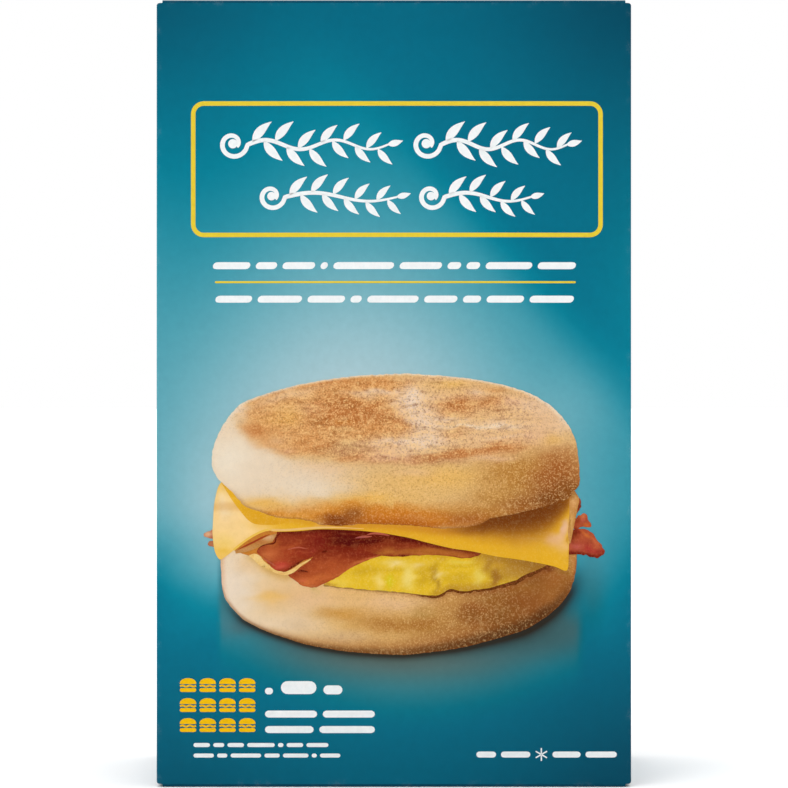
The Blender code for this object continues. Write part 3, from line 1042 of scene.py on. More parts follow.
HEEL_PAINT = [
    (WHEAT, -66, 80, 15, 22, 1, 3),
    (WHEAT, -50, 65, 16, 6, .6),
    (WHEAT, -44, 82, 12, 4, .4),
    (PEACH, -33, 76, 14, 7, .7),
    (HONEY, -49, 75.6, 6.5, 2, .6, 3),
    ((136, 84, 34), 64, 71, 36, 25, 1, 4),
    (OCHRE, -20, 69, 11, 2.6, .75),
    (OCHRE, -6, 66, 10, 3.4, .8),
    (PEACH, 0, 73.4, 15, 4, .75),
    (OCHRE, 11, 65.4, 10, 3.6, .9),
    (CRUST, 12, 65, 5, 1.8, .6),
    (TAN, 24, 64, 15, 6, .8),
    (BRAN, -22.5, 59.6, 21.4, 3, .6),
    (OCHRE, 13, 78, 6, 1.6, .6),
    (TAN, 20, 73, 9, 5, .8),
    ((172, 122, 60), 15, 76.4, 4, 1.6, .8),
    (CRUST, 33.4, 69.4, 7.4, 5, 1, 3),
    (BARK, 33, 71.6, 3.6, 1.6, .5),
    ((184, 122, 54), 0, 64.6, 7, 2, .8),
    (WHEAT, -38, 66, 17, 8, .5),
    ((160, 104, 46), 41, 75, 6, 3, .6),
    (BARK, 57, 74, 14, 7, .7, 3),
    (UMBER, 56, 84.5, 6, 2.6, .6),
    (CRUST, 64, 84, 6, 5, .7),
    (TAN, 64, 75, 5, 3.4, .3),
    (OCHRE, 49, 80, 7, 3, .3),
    (OCHRE, 62, 80, 10, 8, .15),
    (ORANGE, 71.6, 85.7, 1.3, 8.2, .8),
    (OCHRE, -24.5, 69.4, 4, 1.4, .5),
    ((168, 116, 56), 13, 63.4, 20, 5.4, .34),
    ((140, 88, 36), 31.6, 69, 6, 3.6, .6),
    ((206, 176, 96), -31, 78.8, 1.1, 2.2, .7),
    ((112, 50, 24), 61.4, 87.2, 3.4, 1.1, .85, 3, 15),
    ((138, 88, 40), 37, 67, 11, 5, .5),
    ((120, 76, 32), 43, 65.6, 4.4, 3, .55),
    ((174, 132, 64), 10, 69.6, 5.4, 2.2, .5),
    ((222, 160, 66), -21, 69.2, 8, 2.6, .5),
    ((216, 180, 140), -20, 59.6, 10, 2.2, .45),
    ((214, 176, 126), 11.6, 74, 5, 2.4, .35),
    ((200, 148, 72), -17.2, 64.4, 5, 2, .4),
    ((172, 114, 40), 12, 64, 5, 2, .35),
    ((230, 186, 130), -58, 88.6, 6, 3, .4),
    ((206, 172, 134), -38.8, 64.4, 6, 3, .35),
    ((170, 122, 44), 69.2, 88.4, 3, 4, .5),
]
EGG_PAINT = [
    (LEMON, -21.4, 82.6, 4, 1.8, .9),
    (OLIVE, -12, 86.4, 5, 2, .7),
    ((250, 220, 136), -6, 82.2, 2, 3.4, .75, 3),
    ((242, 214, 142), 0.6, 89.4, 4.2, 1.5, .95),
    ((222, 206, 36), -1.2, 82.6, 2.2, 2.8, .8, 3),
    (OLIVE, -1, 86.8, 7, 0.7, .5),
    ((246, 220, 124), 6, 84, 2.9, 5, .9, 3),
    ((242, 212, 146), 10.2, 88.9, 2.4, 1.5, .9),
    (OLIVE, 11.6, 84.4, 1.8, 4.4, .8),
    (OLIVE, 15.6, 86, 2.2, 4.6, .9, 3),
    ((172, 126, 42), 17, 82.4, 0.9, 5.6, .8, 2, 12),
    ((240, 212, 146), 18.6, 85, 1.7, 1.1, .9),
    ((232, 206, 96), 27, 90.2, 7, 0.6, .7),
    (OLIVE, 27, 88.4, 7, 0.7, .5),
    (OLIVE, 25, 83.4, 5, 2.2, .7),
    ((238, 210, 98), 33.6, 83.8, 2.6, 3.8, .9, 3),
    ((204, 156, 44), 33.6, 90, 3, 2.4, .7),
    (BRONZE, 37.6, 88.6, 2.2, 3.4, .9),
    (BRONZE, 50, 87, 9, 6, .95, 3),
    ((168, 112, 38), 41, 84.2, 1.8, 3.8, .95, 4),
    ((214, 162, 58), 41, 89.9, 1.9, 1.9, .9, 3),
    ((190, 142, 60), 47, 85.6, 3, 1.4, .5),
    (SHADED_EGG, 57, 88.6, 6, 3.6, .9, 3),
    (OLIVE, 8, 92.8, 22, 0.8, .6),
    ((206, 156, 44), 19, 91.4, 1.8, 1.3, .7),
    (BRONZE, -26.2, 81.3, 2.6, 0.7, .7),
    ((150, 104, 38), 41, 83.6, 3.4, 3.6, .35),
]
BACON_PAINT = [
    ((206, 110, 60), -50.4, 93.6, 5.6, 3.8, .97),
    (ROSE, -45.5, 89.8, 4.6, 2, .9),
    ((200, 68, 56), -45.2, 88.6, 2.8, 1.3, .9),
    ((150, 60, 34), -42.7, 99, 5, 2.2, .9),
    ((180, 82, 42), -40.4, 96.4, 4.4, 1.3, .8, 2, 8),
    ((190, 92, 50), -46, 95.2, 3.6, 0.9, .6, 2, 12),
    ((158, 52, 36), -36.4, 93.6, 3.6, 1.6, .8),
    ((178, 72, 38), -42, 93.4, 4, 2, .7),
    ((150, 52, 26), -38, 91.8, 5, 1.3, .6, 2, 20),
    ((172, 70, 50), -32, 94.6, 2, 0.9, .6, 2, 35),
    ((134, 36, 30), -30, 99, 5, 3.4, .7),
    (DEEP_MAROON, -20, 99.4, 9, 3.4, .95, 3),
    (DEEP_MAROON, -14, 98, 6, 2.4, .95),
    ((126, 36, 22), -22.6, 95.6, 6, 1.2, .6),
    (MAROON, -33, 102.6, 14, 0.9, .7),
    (SALMON, -52.8, 93.4, 1.2, 1, .6),
    (SALMON, -50.2, 91, 1.4, 0.7, .6),
    ((212, 96, 78), -44.8, 88, 1.8, 0.7, .6),
    ((184, 98, 44), -48.6, 97.6, 2.6, 1.5, .8),
    ((122, 32, 20), -40.6, 88.6, 1.8, 0.8, .8, 2, 30),
]
BACON_LOWER_PAINT = [
    ((182, 84, 42), -26, 87, 13, 5.6, .95, 3),
    ((216, 116, 60), -34, 82.6, 6.4, 2.6, .95),
    ((204, 108, 50), -27, 83.8, 4, 1.6, .7),
    ((214, 104, 70), -35.8, 83.2, 1.6, 0.8, .7),
    ((196, 98, 52), -25.4, 84.8, 4.6, 0.9, .7, 2, 26),
    ((134, 52, 24), -36.6, 86.4, 2, 0.8, .6),
    ((160, 66, 34), -30.6, 86.4, 3.4, 0.8, .4, 2, 20),
    ((180, 86, 48), -27.4, 91, 4, 0.8, .5, 2, 18),
    ((134, 42, 26), -14.6, 93.8, 5, 1, .8),
    ((142, 50, 28), -23, 93.4, 4.6, 0.9, .7),
    ((216, 124, 72), -9.6, 91.7, 3.4, 0.6, .85, 2, 20),
    ((206, 116, 62), -15, 89.4, 3.4, 0.7, .8, 2, 27),
    ((200, 112, 56), -20.4, 86, 3.4, 0.7, .8, 2, 35),
    ((220, 150, 90), -31, 80.6, 3, 0.5, .5),
]
BACON_BACK_PAINT = [
    (DEEP_MAROON, -9, 99.4, 6.6, 1.6, .97),
    ((152, 70, 72), -13.6, 100.4, 1.8, 0.8, .8),
    (DEEP_MAROON, -11.4, 98.2, 4.4, 1.6, .85),
    ((134, 56, 28), -1, 98, 5, 1.2, .8),
    (DEEP_MAROON, 6, 98.8, 4, 0.9, .8),
    ((140, 54, 28), 3.4, 96.6, 7, 0.9, .7),
    ((164, 86, 38), 3, 94.9, 10, 0.9, .8),
    ((190, 118, 48), -2, 93.6, 9, 0.8, .9),
    ((190, 122, 54), 12, 93.4, 5, 0.6, .8),
    ((182, 106, 42), 18, 94.5, 17, 2, .95, 3),
    ((196, 126, 50), 27, 93, 5, 0.6, .7),
]
TIP_PAINT = [
    ((110, 46, 24), 74.6, 112.6, 1.4, 2.6, .9),
    ((222, 128, 82), 75.6, 108.6, 1.6, 1.2, .8),
    ((150, 60, 28), 73.6, 106.6, 1.4, 2.4, .85),
    ((206, 108, 90), 76, 106.8, 1.2, 0.8, .7),
    ((206, 106, 46), 78, 105, 1.4, 0.8, .8),
    ((118, 42, 16), 72.2, 100.8, 2.6, 2.8, .95, 3),
    ((132, 40, 24), 74.6, 102.4, 3, 0.9, .85, 2, -10),
    ((218, 116, 52), 78, 101, 3, 0.9, .95, 2, -42),
    ((212, 110, 66), 81, 97.8, 2, 0.8, .8, 2, -50),
    ((182, 84, 50), 76.2, 98.8, 2.6, 1.4, .7, 2, -30),
    ((198, 94, 86), 72.6, 96.2, 3, 1.2, .85),
    ((176, 56, 50), 79.6, 95, 3.4, 1.4, .85, 2, -20),
    ((140, 36, 34), 82.8, 94, 1.2, 1.2, .8),
    ((118, 28, 16), 76, 92.9, 6, 0.6, .9, 2, -5),
    (PEACH, -74.5, 101.4, 3.1, 2, .9),
    (ROSY, -73.5, 97.3, 2, 1.5, .8),
]
FAT_PAINT = [
    ((250, 214, 146), -54.6, 92.2, 1.8, 1.4, .8),
    ((196, 146, 70), -50.6, 87.4, 2.4, 0.7, .7),
    ((150, 110, 60), -52.4, 88.6, 0.9, 0.5, .7),
    ((222, 160, 90), -45, 85.6, 1.6, 0.7, .6),
    ((226, 158, 80), -37.4, 89, 1.4, 1, .7),
]
STRIP_PAINT = [
    (AMBER_ROSE, -60, 94.6, 3.4, 1.2, .7),
    (SALMON, -54, 98, 4, 1.2, .6),
    (PEACH, -50.4, 100.2, 2.4, 1.2, .7),
]
CHEESE_PAINT = [
    (BUTTER, -65.8, 104.9, 13.3, 16.8, 1, 4),
    (BUTTER, -56.1, 102.4, 6.1, 2, .8),
    (PALE_BUTTER, -67.9, 115.1, 3.1, 6.1, .5),
    (CHEDDAR, -68.4, 94.6, 4.4, 2.4, .6),
    (CHEDDAR, -36.7, 105.2, 15.3, 2, .9),
    (CUT_CHEESE, -29, 104.4, 3, 1, .6),
    (DEEP_CHEDDAR, 4, 102.4, 14, 1.2, .6),
    (CUT_CHEESE, 54.4, 99, 7.5, 0.5, .6, 2, -4),
    (BRONZE, 59.6, 97.6, 2.6, 0.3, .5, 2, -12),
    ((240, 188, 144), 65, 98.6, 4.4, 3, .95, 3),
    ((238, 188, 156), 67.4, 103.6, 1.9, 4, .95, 3, -14),
    ((240, 188, 126), 68, 95.6, 2.2, 2.6, .7),
    ((222, 158, 38), 26, 101.6, 26, 2.4, .5),
    (DEEP_CHEDDAR, 44.1, 98, 12.9, 1.2, .5),
    (CHEESE_TAN, 70.2, 98, 0.6, 6, .5),
    (PALE, -68.6, 112, 2.4, 5, .35),
    (PALE, -67.6, 112.4, 5, 4, .2),
    ((244, 206, 92), -67.6, 98, 5, 4, .4),
    ((250, 210, 140), -50.4, 103.2, 7, 1.4, .35),
    ((240, 190, 100), -53.2, 103.4, 4, 1.6, .3),
    ((228, 172, 78), 54.8, 98, 9, 2.6, .4),
]

CHEESE_SIDE_PAINT = [
    ((224, 164, 106), 71.7, 114, 1.1, 1.8, .85),
    ((220, 170, 96), 70.4, 108.6, 0.9, 2.6, .8),
    ((216, 172, 104), 70.6, 104.6, 0.8, 2, .8),
    ((150, 92, 40), 71, 117.2, 2, 1.6, .9),
    ((170, 100, 44), 72.8, 107, 0.7, 3.6, .7),
    ((164, 112, 46), 69.8, 105.6, 0.4, 3.2, .7),
    ((176, 120, 62), 71.2, 111, 0.5, 1.2, .6),
]

# How much mottling, sand and streak there is, as red, green and blue of patches of the same form.
CROWN_GRAIN = [
    ((30, 90, 0), 10, 120, 46, 12, .9),
    ((50, 120, 0), 62, 120, 30, 16, .9),
    ((110, 150, 120), 2, 147, 64, 17.5, 1, 8),
    ((0, 10, 0), -64, 128, 20, 18, .95, 4),
    ((6, 24, 0), -38, 120.6, 16, 7.4, .8, 3),
    ((60, 50, 0), 0, 107.5, 44, 3.6, .8),
    ((40, 80, 40), 64, 147, 8, 9, .8),
]
HEEL_GRAIN = [
    ((0, 10, 0), -58, 76, 30, 26, 1),
    ((50, 90, 0), 28, 66, 34, 16, .9),
    ((40, 50, 20), 60, 77, 14, 9, .9),
    ((30, 50, 0), 30, 55, 34, 5, .9),
    ((40, 80, 0), 24, 77, 26, 3, .8),
    ((14, 16, 0), 62, 78, 13, 11, .85, 3),
]


# The picture's layers

# Levels of the picture's films, in steps of a film above the board.
PICTURE_LEVEL = {
    "shadow": 0.6,
    "heel": 2,
    "filling": 2.3,
    "egg_gap": 2.6,
    "egg": 3,
    "bacon_back": 3.5,
    "bacon_tips": 3.5,
    "bacon_lower": 4,
    "bacon_fat": 4.5,
    "bacon_strip": 4.8,
    "strip_gap": 4.9,
    "bacon_front": 5,
    "dark_folds": 5.3,
    "light_folds": 5.3,
    "cheese": 6,
    "cheese_fold": 6.3,
    "cheese_side": 6.4,
    "cheese_lip": 6.6,
    "cheese_rim": 6.6,
    "crown": 7,
}


def cells(spot, length):
    """How many cells of the picture's grids a length of the drawing takes."""
    return max(8, int(length / (PICTURE_CELL / spot.scale)))


# How the picture's painted places sway, each (reach, size across, size up, seed of the noise).
SWAY_ACROSS = [(1.5, 6, 3, 11), (0.8, 2.6, 1.4, 12)]
SWAY_UP = [(0.8, 7, 3, 13), (0.45, 3, 1.3, 14)]


def swayed(place, x, z, sways):
    """Places moved a little by smooth noise."""
    for reach, *lattice in sways:
        place = place + reach * ripple(x, z, *lattice)
    return place


def inked(spot, label, grids, material, base, paint=(), grain_base=(0, 0, 0), grain=(), wrap=False,
          rims=(), shades=()):
    """Films of one layer, painted with its places swayed.

    A rim (colour, strength, low, high) tints a wrapped film's edge, more from one height to another.
    A shade (edge, colour, stations, depths, strengths) darkens from an edge line up or down: its weight is
    the strength there times exp(-(distance / depth)^3).
    """
    films = []
    for grid in grids:
        x, z, share = grid
        places = swayed(x, x, z, SWAY_ACROSS), swayed(z, x, z, SWAY_UP)
        colour = painted(tone(base), *places, paint)
        for edge, ink, stations, depths, strengths in shades:
            away = np.abs(z - np.interp(x, *np.transpose(edge))) / np.interp(x, stations, depths)
            colour = toward(colour, tone(ink), np.interp(x, stations, strengths) * np.exp(-away ** 3))
        for ink, strength, low, high in rims:
            weight = strength * smoothstep(0.965, 1.0, share) * smoothstep(low, high, z)
            colour = toward(colour, tone(ink), weight)
        fields = {"paint": linear(colour), "grain": painted(tone(grain_base), *places, grain)}
        films.append(film(spot, grid, PICTURE_LEVEL[label], wrap, fields))
    piece(f"{spot.panel}_{label}", films, [material])


def tapered(points, count, shares, widths, rows=3):
    """Grid of a line along a smooth curve, as wide at shares of its length as the widths say."""
    return stroke(spline(points, count), np.interp(np.linspace(0, 1, count), shares, widths), rows)


def contact_shadow(spot):
    """The dark round the heel's foot: exp(-(distance / reach)^2) and a wider soft part, more at the right.

    It is painted over the ground's own colours, and fades upwards.
    """
    fringe = band(spline(HEEL_OUTLINE, cells(spot, 360), closed=True), -0.8, 8.0, 18, closed=True)
    x, z, away = fringe
    girth = PANEL_MIDDLE[spot.panel] + spot.across + x * spot.scale
    under = linear(ground(girth, spot.up + z * spot.scale))
    right = smoothstep(10, 60, x)
    near = 0.8 - 0.3 * right * smoothstep(64, 80, z)
    dark = near * np.exp(-(np.maximum(away, 0) / (2.1 + 0.9 * right)) ** 2)
    dark += (0.24 + 0.2 * right) * (1 - smoothstep(0, 8, away))
    dark = np.minimum(dark, 0.92) * (1 - smoothstep(64, 80, z - 12 * right))
    fields = {"paint": toward(under, linear(tone(SHADOW)), dark), "grain": under * 0}
    shade = film(spot, fringe, PICTURE_LEVEL["shadow"], True, fields)
    piece(f"{spot.panel}_shadow", [shade], [SHADOW_INK])


def heel(spot):
    """The bread's lower half, its rim umber at the foot and salmon above."""
    grid = within(HEEL_OUTLINE, (2, 76), cells(spot, 400), cells(spot, 46), ragged=0.15, seed=31)
    rims = [(UMBER, .5, 78, 56), (SALMON, .3, 60, 90)]
    inked(spot, "heel", [grid], BREAD_INK, GOLD, HEEL_PAINT, (30, 45, 10), HEEL_GRAIN, wrap=True,
          rims=rims, shades=HEEL_SHADES)


def egg(spot):
    """The dim filling behind all, the dark gap under the egg, and the egg."""
    filling = within(FILLING, (0, 92), cells(spot, 300), 12)
    inked(spot, "filling", [filling], BACON_INK, (208, 132, 50), grain_base=(60, 60, 0), wrap=True)
    foot = spline(EGG_FOOT, 160)
    x = foot[:, 0]
    below = np.interp(x, [-28, 8, 16, 32, 42, 56, 63], [0.5, 0.6, 0.9, 0.9, 1.2, 1.6, 1.2])
    uneven = ripple(x, x * 0, 1.6, 1, 5) * np.interp(x, [10, 20], [0.2, 0.45])
    gap = band(foot, -0.6, below + uneven)
    pale_left = [((176, 140, 74), -14, 79, 26, 5, .95, 6)]
    inked(spot, "egg_gap", [gap], BACON_INK, (104, 56, 22), pale_left, (60, 60, 0))
    grid = between(EGG_FOOT, EGG_TOP, cells(spot, 110), cells(spot, 18), ragged=0.2, seed=21)
    inked(spot, "egg", [grid], EGG_INK, YOLK, EGG_PAINT, (26, 30, 0), shades=EGG_SHADES)


def bacon(spot):
    """The rashers: the back one, the tips at both ends, the lower one, the front one, and their folds."""
    back = between(BACON_BACK_FOOT, BACON_BACK_TOP, cells(spot, 70), cells(spot, 12), ragged=0.25, seed=22)
    inked(spot, "bacon_back", [back], BACON_INK, RASHER, BACON_BACK_PAINT, (50, 40, 40), shades=BACON_SHADES)
    tips = [within(tip, np.mean(tip, axis=0), 90, 8, ragged=0.45, seed=33) for tip in BACON_TIPS]
    inked(spot, "bacon_tips", tips, BACON_INK, (178, 80, 52), TIP_PAINT, (70, 30, 0), wrap=True,
          shades=TIP_SHADES)
    lower = within(BACON_LOWER, (-26, 88.5), cells(spot, 140), cells(spot, 16), ragged=0.2, seed=34)
    inked(spot, "bacon_lower", [lower], BACON_INK, RASHER, BACON_LOWER_PAINT, (50, 40, 30), wrap=True)
    fat = tapered(FAT_FOLD, 80, [0, 0.06, 0.14, 0.3, 0.5, 0.7, 1], [0.5, 2.2, 2.9, 1.9, 1.8, 1.5, 0.4], 5)
    inked(spot, "bacon_fat", [fat], CHEESE_INK, FAT, FAT_PAINT, (90, 60, 0))
    front = within(BACON_FRONT, (-34, 95.5), cells(spot, 160), cells(spot, 18), ragged=0.2, seed=35)
    inked(spot, "bacon_front", [front], BACON_INK, RASHER, BACON_PAINT, (40, 30, 50), wrap=True,
          shades=BACON_SHADES)
    taper = 0.15 + 0.85 * np.sin(np.linspace(0, math.pi, 40)) ** 0.7
    rosy = [((156, 84, 86), -13.6, 99.6, 3, 1.2, 1)]
    for label, folds, ink, paint, grain in (
        ("dark_folds", DARK_FOLDS, (104, 32, 16), (), (60, 60, 0)),
        ("light_folds", LIGHT_FOLDS, (184, 92, 70), rosy, (60, 40, 0)),
    ):
        lines = [stroke(spline(path, 40), width * taper) for width, path in folds]
        inked(spot, label, lines, BACON_INK, ink, paint, grain)
    strip = tapered(RASHER_STRIP, 60, [0, 0.3, 1], [1.2, 2.0, 2.8], 5)
    inked(spot, "bacon_strip", [strip], BACON_INK, TAN, STRIP_PAINT, (60, 60, 0))
    gap = tapered(STRIP_GAP, 50, [0, 12 / 49, 36 / 49, 1], [0.14, 0.7, 0.7, 0.14])
    inked(spot, "strip_gap", [gap], BACON_INK, (166, 66, 36))


def cheese(spot):
    """The slice, its folded corner at the left, its cut side at the right, and pale edges along its foot."""
    slice_grid = between(CHEESE_FOOT, CHEESE_TOP, cells(spot, 260), cells(spot, 34))
    inked(spot, "cheese", [slice_grid], CHEESE_INK, CHEDDAR, CHEESE_PAINT, (14, 14, 0), shades=CHEESE_SHADES)
    fold = within(CHEESE_FOLD, (-58, 108.2), cells(spot, 90), cells(spot, 14))
    pale_left = [(CHEDDAR, -64, 113, 5, 12, .9)]
    inked(spot, "cheese_fold", [fold], CHEESE_INK, DEEP_CHEDDAR, pale_left, (20, 20, 0), wrap=True)
    side = within(CHEESE_SIDE, (71.2, 107.8), cells(spot, 60), 8)
    inked(spot, "cheese_side", [side], CHEESE_INK, (202, 142, 78), CHEESE_SIDE_PAINT, (50, 30, 0), wrap=True)
    lip = stroke(spline(CHEESE_LIP, 50), 0.9)
    inked(spot, "cheese_lip", [lip], CHEESE_INK, (244, 196, 84))
    rim = tapered(CHEESE_RIM, 70, [0, 0.5, 1], [0.9, 0.8, 0.2])
    inked(spot, "cheese_rim", [rim], CHEESE_INK, (240, 194, 118))


def crown(spot):
    """The bread's upper half, its rim pale above and umber at the foot."""
    grid = within(CROWN_OUTLINE, (2, 134), cells(spot, 460), cells(spot, 56), ragged=0.22, seed=32)
    rims = [(PALE, .8, 138, 150), (UMBER, .35, 124, 108)]
    inked(spot, "crown", [grid], BREAD_INK, BISCUIT, CROWN_PAINT, (30, 60, 0), CROWN_GRAIN, wrap=True,
          rims=rims)


def picture(spot):
    """The muffin sandwich, from the back film to the front one."""
    for layer in (contact_shadow, heel, egg, bacon, cheese, crown):
        layer(spot)


# Plain shapes: bars, discs, frames and sprigs

def bar(left, right, middle, height, slant=0.0):
    """A round-ended bar: columns as (1 - cos) / 2 of a half turn, as high as a circle's chord at both ends.

    A slant moves each place across by that share of its height over the middle.
    """
    x = left + (right - left) * (1 - np.cos(np.linspace(0, math.pi, max(14, int((right - left) / 2))))) / 2
    reach = np.maximum(np.abs(x - (left + right) / 2) - (right - left - height) / 2, 0)
    half = np.sqrt(np.maximum((height / 2) ** 2 - reach ** 2, 0))
    share = np.linspace(-1, 1, 3)[:, None]
    return x + slant * half * share, middle + half * share, share + 0 * x


def plate(left, right, low, high, radius):
    """A flat rectangle with round corners, as columns closest at its ends.

    Within a radius r of an end a column is shorter at both tips by r - sqrt(r^2 - d^2), where d is how far it
    is into the corner.
    """
    reach = np.linspace(0, radius, 9)
    inner = np.linspace(left + radius, right - radius, 24)[1:-1]
    x = np.concatenate([left + reach, inner, (right - reach)[::-1]])
    near = np.maximum(radius - np.minimum(x - left, right - x), 0)
    cut = radius - np.sqrt(np.maximum(radius ** 2 - near ** 2, 0))
    share = np.linspace(0, 1, 24)[:, None]
    return x + 0 * share, low + cut + (high - low - 2 * cut) * share, share + 0 * x


def block(left, right, low, high):
    """A flat rectangle in eight steps up and in steps of at most 3 mm across, to follow the crown."""
    share = np.linspace(0, 1, 9)[:, None]
    x = np.linspace(left, right, 2 + int((right - left) / 3))
    return x + 0 * share, low + (high - low) * share + 0 * x, share + 0 * x


def disc(x, z, radius, rows=3):
    """Rings round a middle, evenly spaced out to the radius."""
    angle = np.linspace(0, 2 * math.pi, 28, endpoint=False)
    share = np.linspace(0, 1, rows)[:, None]
    return x + radius * share * np.cos(angle), z + radius * share * np.sin(angle), share + 0 * angle


def words(left, right, middle, height, lengths, slant=0.0):
    """A row of bars as long in turn as the lengths, with gaps of 0.8 of their height, scaled to fit."""
    gap = 0.8 * height
    unit = (right - left - gap * (len(lengths) - 1)) / sum(lengths)
    ends = left + np.cumsum([0] + [length * unit + gap for length in lengths])
    return [bar(start, start + length * unit, middle, height, slant) for start, length in zip(ends, lengths)]


def word_rows(rows, slant=0.0):
    """The bars of several rows, each (left, right, middle, height, lengths)."""
    return [made for row in rows for made in words(*row, slant)]


def paragraph(rng, top, count, short_rows, short_end):
    """Rows of small bars of random lengths from the top down, some rows cut short."""
    bars = []
    for k in range(count):
        end, bars_in_row = (short_end, 4) if k in short_rows else (42.0, 7)
        bars += words(-42.0, end, top - 5.2 * k, 1.7, rng.uniform(2, 7, bars_in_row))
    return bars


def rounded_frame(left, right, low, high, radius, count=24):
    """The closed centre line of a round-cornered rectangle: four quarter turns joined by straight runs."""
    corners = [(right - radius, low + radius, 270), (right - radius, high - radius, 0),
               (left + radius, high - radius, 90), (left + radius, low + radius, 180)]
    turns = [arc((x, z), radius, start, 8) for x, z, start in corners]
    path = []
    for here, there in zip(turns, turns[1:] + turns[:1]):
        share = np.linspace(0, 1, count)[1:-1, None]
        path += [here, here[-1] * (1 - share) + there[0] * share]
    return np.concatenate(path)


def curl(x, z, radius, start, turns):
    """A spiral that shrinks evenly to a third of its radius as it turns inwards."""
    turn = np.radians(start) + np.linspace(0, 2 * math.pi * turns, 50)
    return on_circle(x, z, radius * np.linspace(1.0, 0.33, 50), turn)


def leaf(x, z, length, degrees, width, bend):
    """A leaf: a stroke whose direction turns evenly by its bend, in radians.

    Its width at a share s of its length is 0.2 + width sin(pi s^0.8)^1.1, so it swells and closes again.
    """
    share = np.linspace(0, 1, 26)
    angle = np.radians(degrees) + bend * share
    step = length / 25
    path = np.stack([x + np.cumsum(np.cos(angle)) * step, z + np.cumsum(np.sin(angle)) * step], axis=1)
    return stroke(path, 0.2 + width * np.sin(math.pi * share ** 0.8) ** 1.1)


def sprig(left, right, middle, height):
    """A leafy sprig to fill a row: a curled stem that sways as a sine, leaves to both sides, and a bud."""
    radius = 0.32 * height
    start = left + 2 * radius
    share = np.linspace(0, 1, 90)
    x = start + (right - 0.16 * height - start) * share
    waves = max(1, round((right - start) / (1.9 * height)))
    sway = 0.1 * height * np.sin(2 * math.pi * waves * share) - 0.02 * height
    tail = curl(left + radius, middle, radius, 0.0, -1.1)[::-1]
    stem = np.concatenate([tail[:-3], np.stack([x, middle + sway], axis=1)])
    width = np.interp(np.linspace(0, 1, len(stem)), [0, 0.2, 0.6, 1], [1.5, 1.9, 1.5, 0.8])
    strokes = [stroke(stem, width)]
    count = max(4, round((right - start) / (0.27 * height)))
    for k in range(count):
        place = (k + 0.4) / (count + 0.3)
        rise = 1 if k % 2 == 0 else -1
        root = np.interp(place, share, middle + sway)
        length = height * (0.6 - 0.16 * place)
        strokes.append(leaf(np.interp(place, share, x), root, length, 62 * rise, 0.31 * length, -0.5 * rise))
    strokes.append(leaf(x[-1] - 0.4, middle + sway[-1], 0.34 * height, 8, 0.13 * height, 0.2))
    return strokes, disc(left + radius, middle, 0.1 * height)


def sandwich_icon(x, z, width):
    """A small stacked sign: a domed top, a wavy slice and a flat round-ended base.

    The dome rises as the sine of a half turn to the power 0.8, and the slice waves as a sine.
    """
    half = width / 2
    angle = np.linspace(0, math.pi, 20)
    share = np.linspace(0, 1, 3)[:, None]
    dome_x = x - half * np.cos(angle)
    dome = (dome_x + 0 * share, z + width * (0.12 + 0.36 * np.sin(angle) ** 0.8 * share), share + 0 * angle)
    across = np.linspace(-half * 0.96, half * 0.96, 20)
    wave = np.stack([x + across, z + 0.035 * width * np.sin(across / half * 7)], axis=1)
    return [dome, stroke(wave, 0.11 * width), bar(x - half, x + half, z - 0.24 * width, 0.24 * width)]


def frost_sign(x, z, radius):
    """A star of six thin arms."""
    arms = []
    for k in range(3):
        angle = math.radians(30 + 60 * k)
        tip = np.array([math.cos(angle), math.sin(angle)]) * radius
        arms.append(stroke(np.linspace(-tip, tip, 8) + (x, z), 0.2 * radius))
    return arms


# The panels' print

def lay(spot, label, grids, material, level=1, wrap=False):
    """One piece of plain ink from its grids."""
    piece(f"{spot.panel}_{label}", [film(spot, grid, level, wrap) for grid in grids], [material])


def title(spot, rows):
    """Rows of sprigs, each (left, right, middle, height), with the dots in their curls."""
    strokes, dots = [], []
    for row in rows:
        made = sprig(*row)
        strokes += made[0]
        dots.append(made[1])
    lay(spot, "sprigs", strokes, WHITE_INK)
    lay(spot, "sprig_dots", dots, WHITE_INK, 1.6, wrap=True)


def yellow_frame(spot, left, right, low, high, radius, width):
    """The rounded frame round a panel's sprigs."""
    line = rounded_frame(left, right, low, high, radius)
    lay(spot, "frame", [stroke(line, width, closed=True)], YELLOW_INK, wrap=True)


